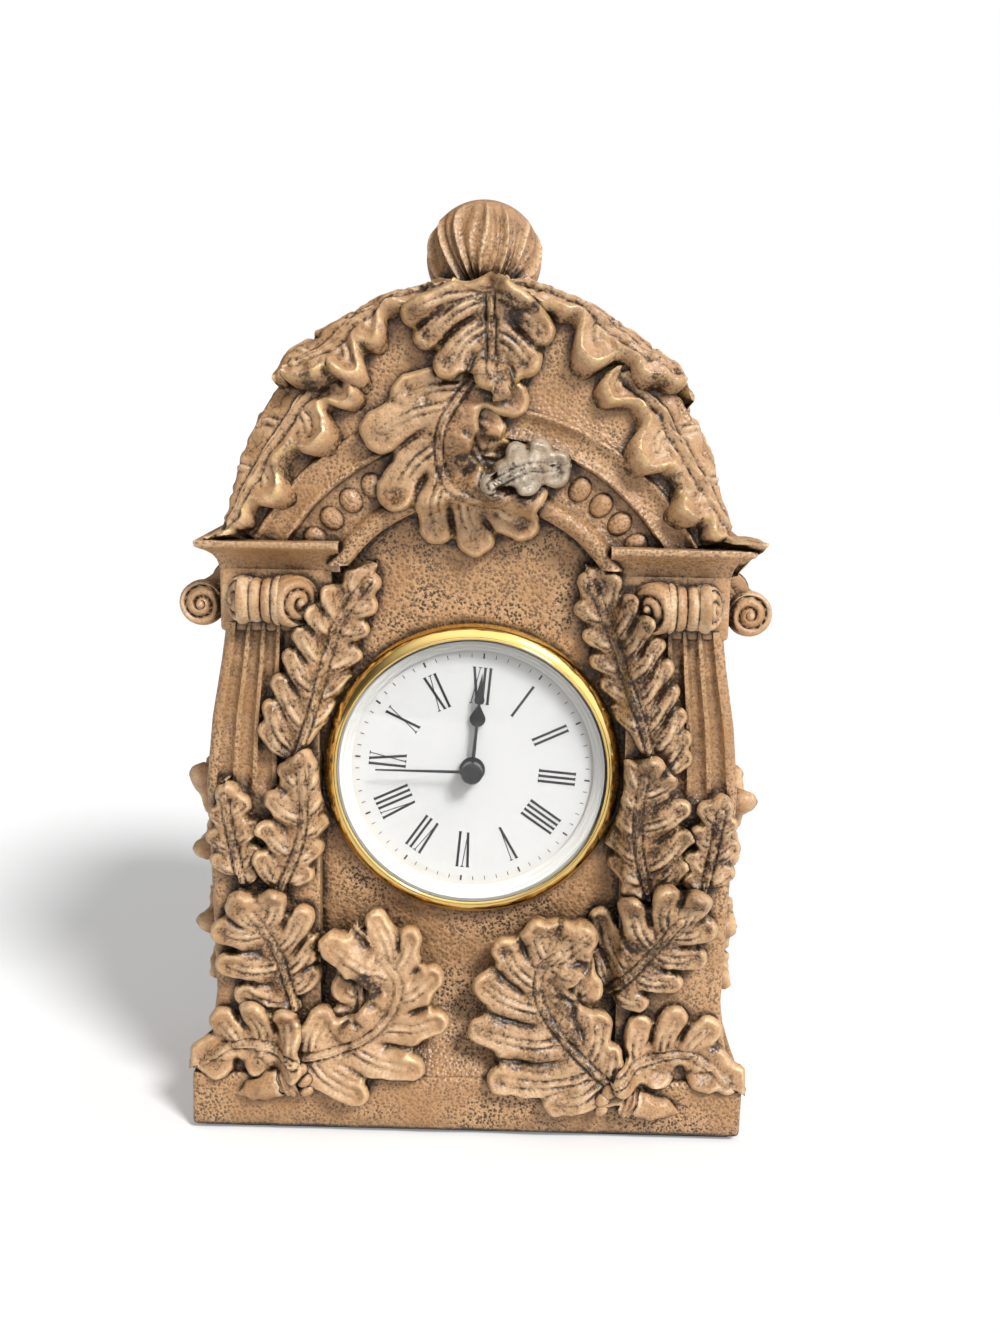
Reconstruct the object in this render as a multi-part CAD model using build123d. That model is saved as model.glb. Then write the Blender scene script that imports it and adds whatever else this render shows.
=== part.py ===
from build123d import *
import os
from math import atan2, cos, degrees, hypot, radians, sin, tan

os.makedirs("parts", exist_ok=True)

# Sizes in millimetres: X right, Y back, Z up, origin on the table under the middle of the base

# Cast case, front elevation
base_width = 136.0
plinth_height = 14.3
felt_thickness = 1.2
felt_inset = 2.5
dial_height = 91.6
spring_height = 147.0
roof_radius = 57.5
arch_center_drop = 26.0
column_top_half = 59.0
column_swell_half = 64.0
pedestal_half = 62.5
shaft_foot_height = 88.0
pedestal_height = 34.0
capital_drop = 21.0
cornice_height = 7.5
cornice_slab = 2.2
cornice_half = 65.0
cornice_inner = 33.0
cornice_step = 1.0
cast_overlap = 1.0

# Cast case, depths
base_depth = 66.0
field_setback = 11.0
column_proud = 6.0
arch_proud = 5.0
cornice_proud = 9.5
pedestal_proud = 9.0
back_inset = 2.0
pedestal_inset = 1.5
column_top_setback = 1.0
front_roll_proud = 1.0
flank_leaf_proud = 3.0
foot_leaf_proud = 1.0
plinth_leaf_sink = 2.0
base_leaf_proud = 0.5
base_leaf_tilt = 10.0
base_leaf_sink = 12.0

# Arch mouldings, radii about the arch centre
roll_inner = 35.8
roll_width = 4.4
roll_proud = 2.4
roll_fillet = 1.0
bead_track = 45.8
bead_band_width = 9.0
bead_band_sink = 1.2
bead_radius = 3.0
bead_pitch_angle = 7.7
bead_first_angle = 24.0
beads_per_side = 5
groove_width = 2.0
groove_depth = 2.6

# Capitals, ball and flutes
front_roll_radius = 6.1
front_roll_waist = 4.9
front_roll_inner = 38.5
front_roll_length = 18.0
front_roll_drop = 14.0
flank_roll_radius = 5.5
flank_roll_waist = 4.5
flank_roll_length = 42.0
flank_roll_half = 65.5
flank_roll_drop = 16.5
eye_radius = 1.8
eye_proud = 0.8
ball_radius = 14.3
ball_rise = 66.0
ball_depth = -4.0
ball_groove = 0.9
ball_groove_top = 66.0
ball_groove_foot = 40.0
ball_ribs = 7
ball_rib_angle = 24.0
flute_radius = 1.7
front_flutes = 5
flank_flutes = 7
flute_margin = 4.1

# Oak leaves and acorns
leaf_relief = 4.2
leaf_sink = 6.0
leaf_edge_share = 0.5
sinus_share = 0.5
lobe_lean = 0.25
lobe_shoulder = 0.8
bend_narrowing = 1.8
lobe_near = 0.3
lobe_peak = 0.6
lobe_far = 0.85
leaf_tip_share = 0.6
swell_start = 27.0
swell_span = 130.0
stem_half = 0.9
roof_leaf_relief = 4.0
acorn_radius = 3.2
acorn_length = 7.5
acorn_belly = (0.74, 0.6)
acorn_cup_share = 1.12
acorn_drop = 4.5

# Quartz insert; its local frame is x right, y up, z towards the viewer, zero on the wall field
insert_turn = 5.0
bezel_radius = 36.0
bezel_seat_gap = 0.1
bezel_room = 0.6
bezel_plate = 0.8
bezel_rise = 4.8
bezel_rim = 0.7
bezel_band = 3.5
bezel_lip = 2.9
bezel_bulge = (0.25, 0.66)
lens_fit = 0.1
lens_edge = 1.4
lens_dome = 4.0
lens_thickness = 1.6
reflector_height = 2.3
reflector_lap = 0.3
reflector_top = 0.6
dial_lap = 0.2
dial_thickness = 0.5
dial_fit = 0.1
cup_rim = 0.6
cup_wall = 1.8
cup_floor = 1.5
grip_thickness = 0.6
grip_width = 8.0
grip_start = 4.0
bore_fit = 0.2

# Movement stack, counted backwards from the rear of the dial
plate_gap = 0.2
plate_thickness = 1.4
wheel_thickness = 0.8
wheel_play = 0.3
magnet_length = 2.2
end_room = 1.3
back_thickness = 1.2
housing_radius = 21.5
housing_wall = 1.2
running_fit = 0.08
pivot_depth = 0.8

# Gear train: teeth, and modules in millimetres
rotor_teeth = 6
intermediate_teeth = 30
intermediate_leaves = 6
seconds_teeth = 36
seconds_leaves = 6
third_teeth = 45
third_leaves = 6
centre_teeth = 48
cannon_teeth = 8
motion_teeth = 24
motion_leaves = 8
hour_teeth = 32
rotor_module = 0.32
seconds_module = 0.36
third_module = 0.29
cannon_module = 0.45
tooth_root = 1.3
tooth_tip = 0.85
tooth_root_share = 0.30
tooth_tip_share = 0.09
third_angle = 210.0
intermediate_angle = 330.0
rotor_angle = 15.0
motion_angle = 90.0

# Arbors and pipes
arbor_radius = 0.45
thin_arbor_radius = 0.35
minute_pipe_radius = 1.4
minute_spigot_radius = 1.0
hour_pipe_radius = 2.0
dial_hole_radius = 2.6
knob_shaft_radius = 1.2
stud_radius = 0.5
pipe_stand = 0.3

# Hands
hand_thickness = 0.35
hour_hand_lift = 0.9
minute_hand_lift = 1.9
second_hand_lift = 3.4
hour_hand_length = 16.5
minute_hand_length = 24.2
second_hand_length = 23.2
hour_bulb_at = 12.6
hour_bulb_radius = 1.9
minute_bulb_at = 17.6
minute_bulb_radius = 1.2
hand_stem_width = 0.9
hand_ring = 1.1
hand_taper = 0.7
spade_point_half = 0.8
spade_point_start = 0.6
second_hand_width = 0.8
second_hand_tip = 0.34
second_hand_angle = 265.3
second_cap_radius = 2.6
second_cap_start = 2.9
second_cap_length = 2.7
second_cap_chamfer = 0.4

# Electrical pieces
magnet_radius = 2.4
stator_gap = 0.4
stator_ring = 1.6
stator_thickness = 0.8
stator_arm = 2.2
stator_knee = (3.6, 8.5)
coil_at = (9.5, 9.5)
coil_length = 8.0
coil_radius = 1.6
bobbin_flange = 1.9
bobbin_tube = 1.0
flange_thickness = 0.6
core_width = 1.1
core_overhang = 3.0
board_left = -17.0
board_right = -8.5
board_bottom = -3.0
board_top = 11.0
board_thickness = 0.8
board_clear = 0.6
chip_radius = 2.2
chip_height = 0.8
chip_at = (-10.75, 0.0)
crystal_at = (-11.75, 6.0)
post_inset = 2.5
crystal_radius = 0.95
crystal_length = 6.0
post_radius = 0.8
cell_radius = 5.8
cell_thickness = 5.4
cell_at = (-1.0, -13.2)
cell_clearance = 0.3
cell_step = 0.6
cell_rim_share = 0.8
contact_thickness = 0.3
contact_height = 3.0
contact_start = (-13.0, -2.2)
contact_bend = (2.2, 5.0)
contact_touch = (0.4, -1.5)
tongue_length = 4.5
tongue_width = 2.6
tongue_root = 1.2
spring_post_inset = 1.4
spring_post_extra = 0.4

# Rear of the insert
hatch_plug_fit = 0.2
hatch_flange = 1.0
hatch_thickness = 0.8
hatch_tab = 1.2
knob_radius = 4.5
knob_length = 3.8
knob_ribs = 18
knob_stand = 0.3
screw_circle = 18.6
screw_angles = (20.0, 160.0, 305.0)
screw_radius = 0.6
screw_head_radius = 1.4
screw_head_height = 0.7
screw_slot = 0.4
screw_tip_room = 0.2

front_y = -base_depth / 2
back_y = base_depth / 2 - back_inset
field_y = front_y + field_setback
column_y = field_y - column_proud
arch_y = field_y - arch_proud
plinth_top = felt_thickness + plinth_height
arch_center_height = spring_height - arch_center_drop
capital_height = spring_height - capital_drop
cornice_foot_height = spring_height - cornice_height
front_roll_height = spring_height - front_roll_drop
flank_roll_height = spring_height - flank_roll_drop
ball_height = spring_height + ball_rise
niche_half = bezel_radius + bezel_room
lens_radius = bezel_radius - bezel_band
bezel_opening = lens_radius - bezel_lip
reflector_inner = bezel_opening - reflector_lap
dial_radius = bezel_opening + dial_lap
cup_radius = dial_radius + cup_rim
bore_radius = cup_radius + grip_thickness + bore_fit


def block(x0, x1, y0, y1, z0, z1):
    return Pos((x0 + x1) / 2, (y0 + y1) / 2, (z0 + z1) / 2) * Box(x1 - x0, y1 - y0, z1 - z0)


def section(x0, x1, y0, y1, z):
    return Pos((x0 + x1) / 2, (y0 + y1) / 2, z) * Rectangle(x1 - x0, y1 - y0)


def rod(start, end, radius):
    run = Vector(*end) - Vector(*start)
    return extrude(Plane(origin=start, z_dir=run) * Circle(radius), run.length)


def turned(*edges):
    # edges are drawn as (radius, height)
    return revolve(Plane.XZ * make_face(edges), Axis.Z)


def polar(distance, angle):
    return Vector(distance * cos(radians(angle)), distance * sin(radians(angle)))


# Case

def column():
    # right-hand column, flared at the foot, with flutes under its capital
    levels = [
        (plinth_top - cast_overlap, base_width / 2 - pedestal_inset, field_y - pedestal_proud),
        (pedestal_height, pedestal_half, column_y),
        (shaft_foot_height, column_swell_half, column_y),
        (capital_height, column_top_half, column_y + column_top_setback),
    ]
    shaft = loft([section(niche_half, x, y, back_y, z) for z, x, y in levels], ruled=True)
    top = capital_height + cast_overlap
    foot = shaft_foot_height
    top_y = column_y + column_top_setback
    start = niche_half + flute_margin
    cuts = []
    for i in range(front_flutes):
        share = (i + 0.5) / front_flutes
        x_top = start + share * (column_top_half - start)
        x_foot = start + share * (column_swell_half - start)
        cuts.append(rod((x_foot, column_y, foot), (x_top, top_y, top), flute_radius))
    for i in range(flank_flutes):
        share = (i + 0.5) / flank_flutes
        y = column_y + flute_margin + share * (back_y - column_y - 2 * flute_margin)
        cuts.append(rod((column_swell_half, y, foot), (column_top_half, y, top), flute_radius))
    return shaft - cuts


def scroll(length, radius, waist):
    # spool with a waist and an eye on each end, axis along local z
    half = length / 2
    spool = turned(
        Line((0, -half), (radius, -half)),
        ThreePointArc((radius, -half), (waist, 0), (radius, half)),
        Line((radius, half), (0, half)),
        Line((0, half), (0, -half)),
    )
    return spool + Cylinder(eye_radius, length + 2 * eye_proud)


def capital():
    top = cornice_foot_height + cast_overlap
    bell = block(niche_half, column_top_half + cast_overlap, column_y + column_top_setback, back_y,
                 capital_height - cast_overlap, top)
    front_x = front_roll_inner + front_roll_length / 2
    front = scroll(front_roll_length, front_roll_radius, front_roll_waist)
    flank = scroll(flank_roll_length, flank_roll_radius, flank_roll_waist)
    front = Pos(front_x, column_y - front_roll_proud, front_roll_height) * Rot(0, 90, 0) * front
    flank = Pos(flank_roll_half, 0, flank_roll_height) * Rot(90, 0, 0) * flank
    neck_y = flank_roll_length / 2 - cast_overlap
    neck = block(column_top_half - cast_overlap, flank_roll_half, -neck_y, neck_y,
                 flank_roll_height - flank_roll_waist / 2, top)
    return [bell, front, flank, neck]


def cornice():
    slab_foot = spring_height - cornice_slab
    front = field_y - cornice_proud
    cyma = loft([
        section(cornice_inner + 2 * cornice_step, column_top_half + cornice_step, column_y, back_y,
                cornice_foot_height),
        section(cornice_inner + cornice_step, column_top_half + 2 * cornice_step, column_y - cornice_step / 2,
                back_y, (cornice_foot_height + slab_foot) / 2),
        section(cornice_inner, cornice_half - cornice_step, front + cornice_step / 2, back_y, slab_foot),
    ])
    slab = block(cornice_inner, cornice_half, front, back_y, slab_foot, spring_height)
    return [cyma, slab]


def arch():
    # moulded archivolt turned about the arch centre, trimmed to the roof
    roll_outer = roll_inner + roll_width
    band_inner = roll_outer + roll_fillet
    band_outer = band_inner + bead_band_width
    groove_outer = band_outer + groove_width
    root = -arch_proud - cast_overlap
    far = 2 * roof_radius
    ring = turned(
        Line((roll_inner, root), (roll_inner, 0)),
        ThreePointArc((roll_inner, 0), (roll_inner + roll_width / 2, roll_proud), (roll_outer, 0)),
        Line((roll_outer, 0), (band_inner, -bead_band_sink)),
        Line((band_inner, -bead_band_sink), (band_outer, -bead_band_sink)),
        Line((band_outer, -bead_band_sink), (band_outer + groove_width / 2, -groove_depth)),
        Line((band_outer + groove_width / 2, -groove_depth), (groove_outer, 0)),
        Line((groove_outer, 0), (far, 0)),
        Line((far, 0), (far, root)),
        Line((far, root), (roll_inner, root)),
    )
    ring = Pos(0, arch_y, arch_center_height) * Rot(90, 0, 0) * ring
    depth = 4 * arch_proud
    roof = Pos(0, arch_y, spring_height) * Rot(90, 0, 0) * Cylinder(roof_radius, depth)
    legs = block(-roof_radius, roof_radius, arch_y - depth / 2, arch_y + depth / 2,
                 cornice_foot_height, spring_height)
    upper = block(-base_width, base_width, arch_y - depth, arch_y + depth,
                  cornice_foot_height, spring_height + 2 * roof_radius)
    return ring & (roof + legs) & upper


def beads():
    pieces = []
    for side in (-1, 1):
        for i in range(beads_per_side):
            turn = radians(bead_first_angle + i * bead_pitch_angle)
            x = side * bead_track * sin(turn)
            z = arch_center_height + bead_track * cos(turn)
            pieces.append(Pos(x, arch_y + bead_band_sink, z) * Sphere(bead_radius))
    return pieces


def ball():
    # ball with a fan of ribs on its front, parted by grooves that stop short of the poles
    profile = Pos(ball_radius + ball_groove / 4, 0) * Circle(ball_groove)
    groove = Rot(0, -ball_groove_top, 0) * revolve(profile, Axis.Y, ball_groove_top + ball_groove_foot)
    ribbed = Sphere(ball_radius)
    for i in range(ball_ribs + 1):
        ribbed -= Rot(0, 0, -90 + (i - ball_ribs / 2) * ball_rib_angle) * groove
    return Pos(0, ball_depth, ball_height) * ribbed


def leaf_outline(length, half_width, lobes, bow):
    # lobed leaf face: stem at the origin, midrib along x, bowed sideways
    def at(share, off):
        t = share + lobe_lean * abs(off) / length
        slope = 4 * bow * (1 - 2 * t) / length
        norm = hypot(1, slope)
        return (length * t - off * slope / norm, 4 * bow * t * (1 - t) + off / norm)

    def swell(t, side):
        # the half inside a bend is narrower
        inside = side * bow < 0
        room = 1 - bend_narrowing * abs(bow) / length if inside else 1
        return side * room * half_width * sin(radians(swell_start + swell_span * t))

    step = 1 / (lobes + leaf_tip_share)
    outline = []
    notches = []
    for side in (1, -1):
        notch = at(0, side * stem_half)
        for k in range(lobes):
            reach = swell((k + lobe_peak) * step, side)
            near = at((k + lobe_near) * step, lobe_shoulder * reach)
            far = at((k + lobe_far) * step, lobe_shoulder * reach)
            outline.append(Line(notch, near))
            outline.append(ThreePointArc(near, at((k + lobe_peak) * step, reach), far))
            notch = at((k + 1) * step, sinus_share * swell((k + 1) * step, side))
            outline.append(Line(far, notch))
        notches.append(notch)
    outline.append(ThreePointArc(notches[0], at(1, 0), notches[1]))
    outline.append(Line(at(0, stem_half), at(0, -stem_half)))
    return make_face(outline)


def oak_leaf(plane, length, half_width, lobes, bow, sink=leaf_sink):
    # relief leaf on a flat ground, ridged along its midrib
    face = leaf_outline(length, half_width, lobes, bow)
    blade = Pos(0, 0, -sink) * extrude(face, sink + 2 * leaf_relief, dir=(0, 0, 1))
    reach = half_width + abs(bow) + sink
    edge = leaf_relief * leaf_edge_share
    roof = make_face(Polyline(
        (-reach, -2 * sink), (reach, -2 * sink), (reach, edge),
        (2 * bow / 3, leaf_relief), (-reach, edge), close=True))
    start = Plane(origin=(-length, 0, 0), x_dir=(0, 1, 0), z_dir=(1, 0, 0))
    return plane.location * (blade & extrude(start * roof, 3 * length, dir=(1, 0, 0)))


def front_leaf(stem, tip, y, half_width, lobes, bow):
    run = Vector(tip[0] - stem[0], 0, tip[1] - stem[1])
    plane = Plane(origin=(stem[0], y, stem[1]), x_dir=run, z_dir=(0, -1, 0))
    return oak_leaf(plane, run.length, half_width, lobes, bow)


def base_leaf(stem, tip, half_width, lobes, bow):
    # stands forward of the plinth at its foot and leans back to the field
    tilt = radians(base_leaf_tilt)
    run = Vector(tip[0] - stem[0], (tip[1] - stem[1]) * tan(tilt), tip[1] - stem[1])
    plane = Plane(origin=(stem[0], front_y - base_leaf_proud, stem[1]), x_dir=run,
                  z_dir=(0, -cos(tilt), sin(tilt)))
    return oak_leaf(plane, run.length, half_width, lobes, bow, base_leaf_sink)


def roof_leaf(stem, tip, half_width, lobes, bow):
    # leaf folded over the front arris of the roof: cut square across the arris from a thickened vault
    run = Vector(tip[0] - stem[0], 0, tip[1] - stem[1])
    middle = Vector((stem[0] + tip[0]) / 2, 0, (stem[1] + tip[1]) / 2 - spring_height)
    outwards = middle - run * (middle.dot(run) / run.dot(run))
    across = outwards.normalized() + Vector(0, -1, 0)
    plane = Plane(origin=(stem[0], arch_y, stem[1]), x_dir=run, z_dir=across)
    reach = 2 * half_width
    face = leaf_outline(run.length, half_width, lobes, bow)
    blade = Pos(0, 0, -reach) * extrude(face, 2 * reach, dir=(0, 0, 1))
    front = Plane(origin=(0, arch_y - roof_leaf_relief, spring_height), z_dir=(0, 1, 0))
    bed = extrude(front * Circle(roof_radius + roof_leaf_relief), 2 * half_width)
    bed = fillet(bed.edges().group_by(Axis.Y)[0], roof_leaf_relief)
    return plane.location * blade & bed


def flank_leaf(side, stem, tip, x, half_width, lobes, bow):
    run = Vector(0, tip[0] - stem[0], tip[1] - stem[1])
    plane = Plane(origin=(side * x, stem[0], stem[1]), x_dir=run, z_dir=(side, 0, 0))
    return oak_leaf(plane, run.length, half_width, lobes, bow)


def leaves():
    # places are (x, z), heights counted from the dial, the spring line or the plinth top
    d = dial_height
    s = spring_height
    p = plinth_top
    foot_y = column_y - foot_leaf_proud
    base_y = front_y + plinth_leaf_sink
    flank_x = pedestal_half + flank_leaf_proud
    pieces = [
        # crown
        front_leaf((2, s + 57), (3, s + 36), arch_y, 15.0, 2, 0),
        front_leaf((-1.5, s + 36), (9, s + 8), arch_y, 15.5, 3, -9.0),
        roof_leaf((12, s + 56), (47, s + 36), 13.5, 3, 3.0),
        roof_leaf((-12, s + 56), (-46, s + 36), 13.5, 3, -3.0),
        roof_leaf((37, s + 42), (60, s + 1), 13.5, 3, 4.0),
        roof_leaf((-37, s + 42), (-60, s + 1), 13.5, 3, -4.0),
        # beside the dial
        front_leaf((-42, d + 3), (-27, d + 47), column_y, 8.5, 4, 2.0),
        front_leaf((44, d + 3), (28, d + 47), column_y, 8.5, 4, -1.0),
        front_leaf((-46, d - 26), (-40, d + 4), column_y, 8.0, 3, -2.5),
        front_leaf((44, d - 26), (41, d + 4), column_y, 8.0, 3, 1.5),
        front_leaf((-54, d - 28), (-58, d - 3), column_y, 7.0, 3, 0),
        front_leaf((57, d - 27), (59, d - 3), column_y, 7.0, 3, 0),
        # foot of the columns
        front_leaf((-43, p + 19), (-52, p + 45), foot_y, 9.5, 3, 1.5),
        front_leaf((35, p + 22), (51, p + 45), foot_y, 10.0, 3, 1.5),
        # base groups
        base_leaf((-42, p + 4), (-22, p + 36), 16.0, 3, -9.0),
        base_leaf((36, p + 1), (22, p + 37), 16.0, 3, 9.0),
        front_leaf((-42, p + 5), (-66, p + 3), base_y, 9.5, 2, -3.0),
        front_leaf((36, p + 3), (65, p), base_y, 9.5, 3, 4.0),
    ]
    for side in (-1, 1):
        pieces.append(flank_leaf(side, (7, d - 34), (-9, d - 1), flank_x, 12.0, 3, 0))
        pieces.append(flank_leaf(side, (9, p + 6), (-10, p + 41), flank_x, 13.0, 3, 0))
    return pieces


def acorn(x, z, aim):
    profile = turned(
        Line((0, 0), (acorn_radius, 0)),
        ThreePointArc((acorn_radius, 0), (acorn_belly[0] * acorn_radius, acorn_belly[1] * acorn_length),
                      (0, acorn_length)),
        Line((0, acorn_length), (0, 0)),
    )
    nut = profile + Sphere(acorn_cup_share * acorn_radius)
    lean = Plane(origin=(x, front_y, z), z_dir=(cos(radians(aim)), 0, sin(radians(aim))))
    return lean.location * nut


def case_casting():
    core_half = column_top_half - cast_overlap
    plinth = block(-base_width / 2, base_width / 2, front_y, base_depth / 2, felt_thickness, plinth_top)
    core = block(-core_half, core_half, field_y, back_y, plinth_top - cast_overlap, spring_height)
    spring = Plane(origin=(0, field_y, spring_height), z_dir=(0, 1, 0))
    vault = extrude(spring * Circle(roof_radius), back_y - field_y)
    side = [column()] + capital() + cornice()
    solid = plinth + core + vault + side + [mirror(piece, Plane.YZ) for piece in side]
    solid = solid + arch() + beads() + ball()
    solid = solid + leaves()
    low = plinth_top - acorn_drop
    solid = solid + [acorn(-43, plinth_top, -60), acorn(-49, low, 190)]
    solid = solid + [acorn(34, plinth_top, -80), acorn(46, low, -10)]
    wall = Plane(origin=(0, field_y, dial_height), z_dir=(0, -1, 0))
    mouth = extrude(wall * Circle(niche_half), base_depth)
    bore = Pos(0, 0, dial_height) * Rot(90, 0, 0) * Cylinder(bore_radius, 2 * base_depth)
    under = block(-base_width, base_width, -base_depth, base_depth, -base_depth, felt_thickness)
    return solid - mouth - bore - under


def base_felt():
    return block(-base_width / 2 + felt_inset, base_width / 2 - felt_inset,
                 front_y + felt_inset, base_depth / 2 - felt_inset, 0, felt_thickness)


# Insert shell, in its local frame

dial_front = 0.0
dial_back = dial_front - dial_thickness
bezel_back = bezel_seat_gap
bezel_shelf = bezel_back + bezel_plate
lens_seat = bezel_shelf + reflector_height
lens_wall = lens_radius + lens_fit


def behind(depth):
    return dial_back - depth


def layer(face, start, end):
    # a flat face made solid between two depths behind the dial
    return extrude(Pos(0, 0, behind(end)) * face, end - start, dir=(0, 0, 1))


def bezel():
    top = bezel_back + bezel_rise
    rim = lens_wall + bezel_rim
    bulge = (bezel_radius - bezel_bulge[0] * (bezel_radius - rim),
             bezel_shelf + bezel_bulge[1] * (top - bezel_shelf))
    return turned(
        Line((bezel_opening, bezel_back), (bezel_radius, bezel_back)),
        Line((bezel_radius, bezel_back), (bezel_radius, bezel_shelf)),
        ThreePointArc((bezel_radius, bezel_shelf), bulge, (rim, top)),
        ThreePointArc((rim, top), ((rim + lens_wall) / 2, top + bezel_rim / 3), (lens_wall, top)),
        Line((lens_wall, top), (lens_wall, bezel_shelf)),
        Line((lens_wall, bezel_shelf), (bezel_opening, bezel_shelf)),
        Line((bezel_opening, bezel_shelf), (bezel_opening, bezel_back)),
    )


def reflector_ring():
    return turned(
        Line((reflector_inner, bezel_shelf), (lens_radius, bezel_shelf)),
        Line((lens_radius, bezel_shelf), (lens_radius, lens_seat)),
        Line((lens_radius, lens_seat), (lens_radius - reflector_top, lens_seat)),
        Line((lens_radius - reflector_top, lens_seat), (reflector_inner, bezel_shelf)),
    )


def lens():
    crown = lens_seat + lens_edge + lens_dome
    inner = lens_radius - reflector_top
    outer_at = lens_seat + lens_edge

    def halfway(radius, foot, top):
        # point of a spherical cap at half its radius
        rise = top - foot
        sphere = (radius ** 2 + rise ** 2) / (2 * rise)
        return (radius / 2, top - sphere + (sphere ** 2 - radius ** 2 / 4) ** 0.5)

    return turned(
        Line((0, crown - lens_thickness), (0, crown)),
        ThreePointArc((0, crown), halfway(lens_radius, outer_at, crown), (lens_radius, outer_at)),
        Line((lens_radius, outer_at), (lens_radius, lens_seat)),
        Line((lens_radius, lens_seat), (inner, lens_seat)),
        ThreePointArc((inner, lens_seat), halfway(inner, lens_seat, crown - lens_thickness),
                      (0, crown - lens_thickness)),
    )


def dial():
    return extrude(Pos(0, 0, dial_back) * (Circle(dial_radius) - Circle(dial_hole_radius)), dial_thickness)


# Movement layers, as (start, end) depths behind the dial

plate_back = plate_gap + plate_thickness
hour_layer = (plate_back + wheel_play, plate_back + wheel_play + wheel_thickness)
motion_layer = (hour_layer[1] + wheel_play, hour_layer[1] + wheel_play + wheel_thickness)
centre_layer = (motion_layer[1] + wheel_play, motion_layer[1] + wheel_play + wheel_thickness)
third_layer = (centre_layer[1] + wheel_play, centre_layer[1] + wheel_play + wheel_thickness)
seconds_layer = (third_layer[1] + wheel_play, third_layer[1] + wheel_play + wheel_thickness)
intermediate_layer = (seconds_layer[1] + wheel_play, seconds_layer[1] + wheel_play + wheel_thickness)
magnet_layer = (intermediate_layer[1] + wheel_play, intermediate_layer[1] + wheel_play + magnet_length)
back_start = magnet_layer[1] + end_room
back_end = back_start + back_thickness
floor_start = back_end + plate_gap
floor_end = floor_start + cup_floor
cell_layer = (back_start + cell_clearance - cell_thickness, back_start + cell_clearance)
coil_middle = back_start - bobbin_flange - running_fit
stator_layer = (coil_middle - stator_thickness / 2, coil_middle + stator_thickness / 2)
board_layer = (back_start - board_clear - board_thickness, back_start - board_clear)

# Axes, as places in the local frame
third_distance = (seconds_leaves + third_teeth) * third_module / 2
centre_module = 2 * third_distance / (third_leaves + centre_teeth)
motion_distance = (cannon_teeth + motion_teeth) * cannon_module / 2
hour_module = 2 * motion_distance / (motion_leaves + hour_teeth)
third_at = polar(third_distance, third_angle)
intermediate_at = polar((intermediate_leaves + seconds_teeth) * seconds_module / 2, intermediate_angle)
rotor_at = intermediate_at + polar((rotor_teeth + intermediate_teeth) * rotor_module / 2, rotor_angle)
motion_at = polar(motion_distance, motion_angle)
knob_at = motion_at + polar(motion_distance, motion_angle)
screw_places = [polar(screw_circle, angle) for angle in screw_angles]
board_post_x = board_left + post_inset
board_posts = [Vector(board_post_x, board_top - post_inset), Vector(board_post_x, board_bottom + post_inset)]
coil_along = Vector(1, -1).normalized()
coil_middle_at = Vector(*coil_at)
core_ends = [coil_middle_at + coil_along * (side * (coil_length / 2 + core_overhang)) for side in (1, -1)]
knee_at = Vector(*stator_knee)
stator_posts = [(rotor_at + core_ends[0]) / 2, rotor_at * 0.4 + knee_at * 0.6]
spring_post = Vector(cell_at[0], cell_at[1] - cell_radius + spring_post_inset)


def gear(teeth, module, tooth_angle):
    pitch = teeth * module / 2
    step = 360 / teeth
    tooth = [(pitch - tooth_root * module, -tooth_root_share), (pitch + tooth_tip * module, -tooth_tip_share),
             (pitch + tooth_tip * module, tooth_tip_share), (pitch - tooth_root * module, tooth_root_share)]
    points = []
    for i in range(teeth):
        points += [polar(radius, tooth_angle + (i + share) * step) for radius, share in tooth]
    return make_face(Polyline(*points, close=True))


def gap_towards(angle, teeth):
    return angle + 180 / teeth


def disc(at, radius):
    return Pos(at.X, at.Y) * Circle(radius)


def bar(start, end, width):
    # straight flat bar between two places, square-ended half a width past each
    run = end - start
    middle = (start + end) / 2
    turn = degrees(atan2(run.Y, run.X))
    return Pos(middle.X, middle.Y) * Rot(0, 0, turn) * Rectangle(run.length + width, width)


def insert_cup():
    inner = cup_radius - cup_wall
    shell = layer(Circle(cup_radius), dial_back - bezel_back, floor_end)
    shell -= layer(Circle(dial_radius + dial_fit), dial_back - bezel_back, 0)
    shell -= layer(Circle(inner), 0, floor_start)
    holes = disc(knob_at, knob_shaft_radius + knob_stand)
    holes += Pos(*cell_at) * Circle(cell_radius + cell_clearance + hatch_plug_fit)
    for place in screw_places:
        holes += disc(place, screw_radius + running_fit)
    return shell - layer(holes, floor_start - 1, floor_end + 1)


def grip_band():
    ring = Circle(cup_radius + grip_thickness) - Circle(cup_radius)
    return layer(ring, grip_start, grip_start + grip_width)


def movement_housing():
    plate = layer(Circle(housing_radius) - Circle(hour_pipe_radius + running_fit), plate_gap, plate_back)
    wall = layer(Circle(housing_radius) - Circle(housing_radius - housing_wall), plate_back, back_start)
    stud = layer(disc(motion_at, stud_radius), plate_back, motion_layer[1] + wheel_play / 2)
    posts = [layer(disc(at, post_radius), plate_back, stator_layer[0]) for at in stator_posts]
    posts += [layer(disc(at, post_radius), plate_back, board_layer[0]) for at in board_posts]
    posts.append(layer(disc(spring_post, post_radius + spring_post_extra), plate_back,
                       cell_layer[0] - contact_thickness))
    pivots = [(third_at, thin_arbor_radius), (intermediate_at, thin_arbor_radius),
              (rotor_at, thin_arbor_radius), (knob_at, arbor_radius)]
    solid = plate + wall + stud + posts
    for at, radius in pivots:
        solid -= layer(disc(at, radius + running_fit), plate_back - pivot_depth - running_fit, plate_back)
    return solid


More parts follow.
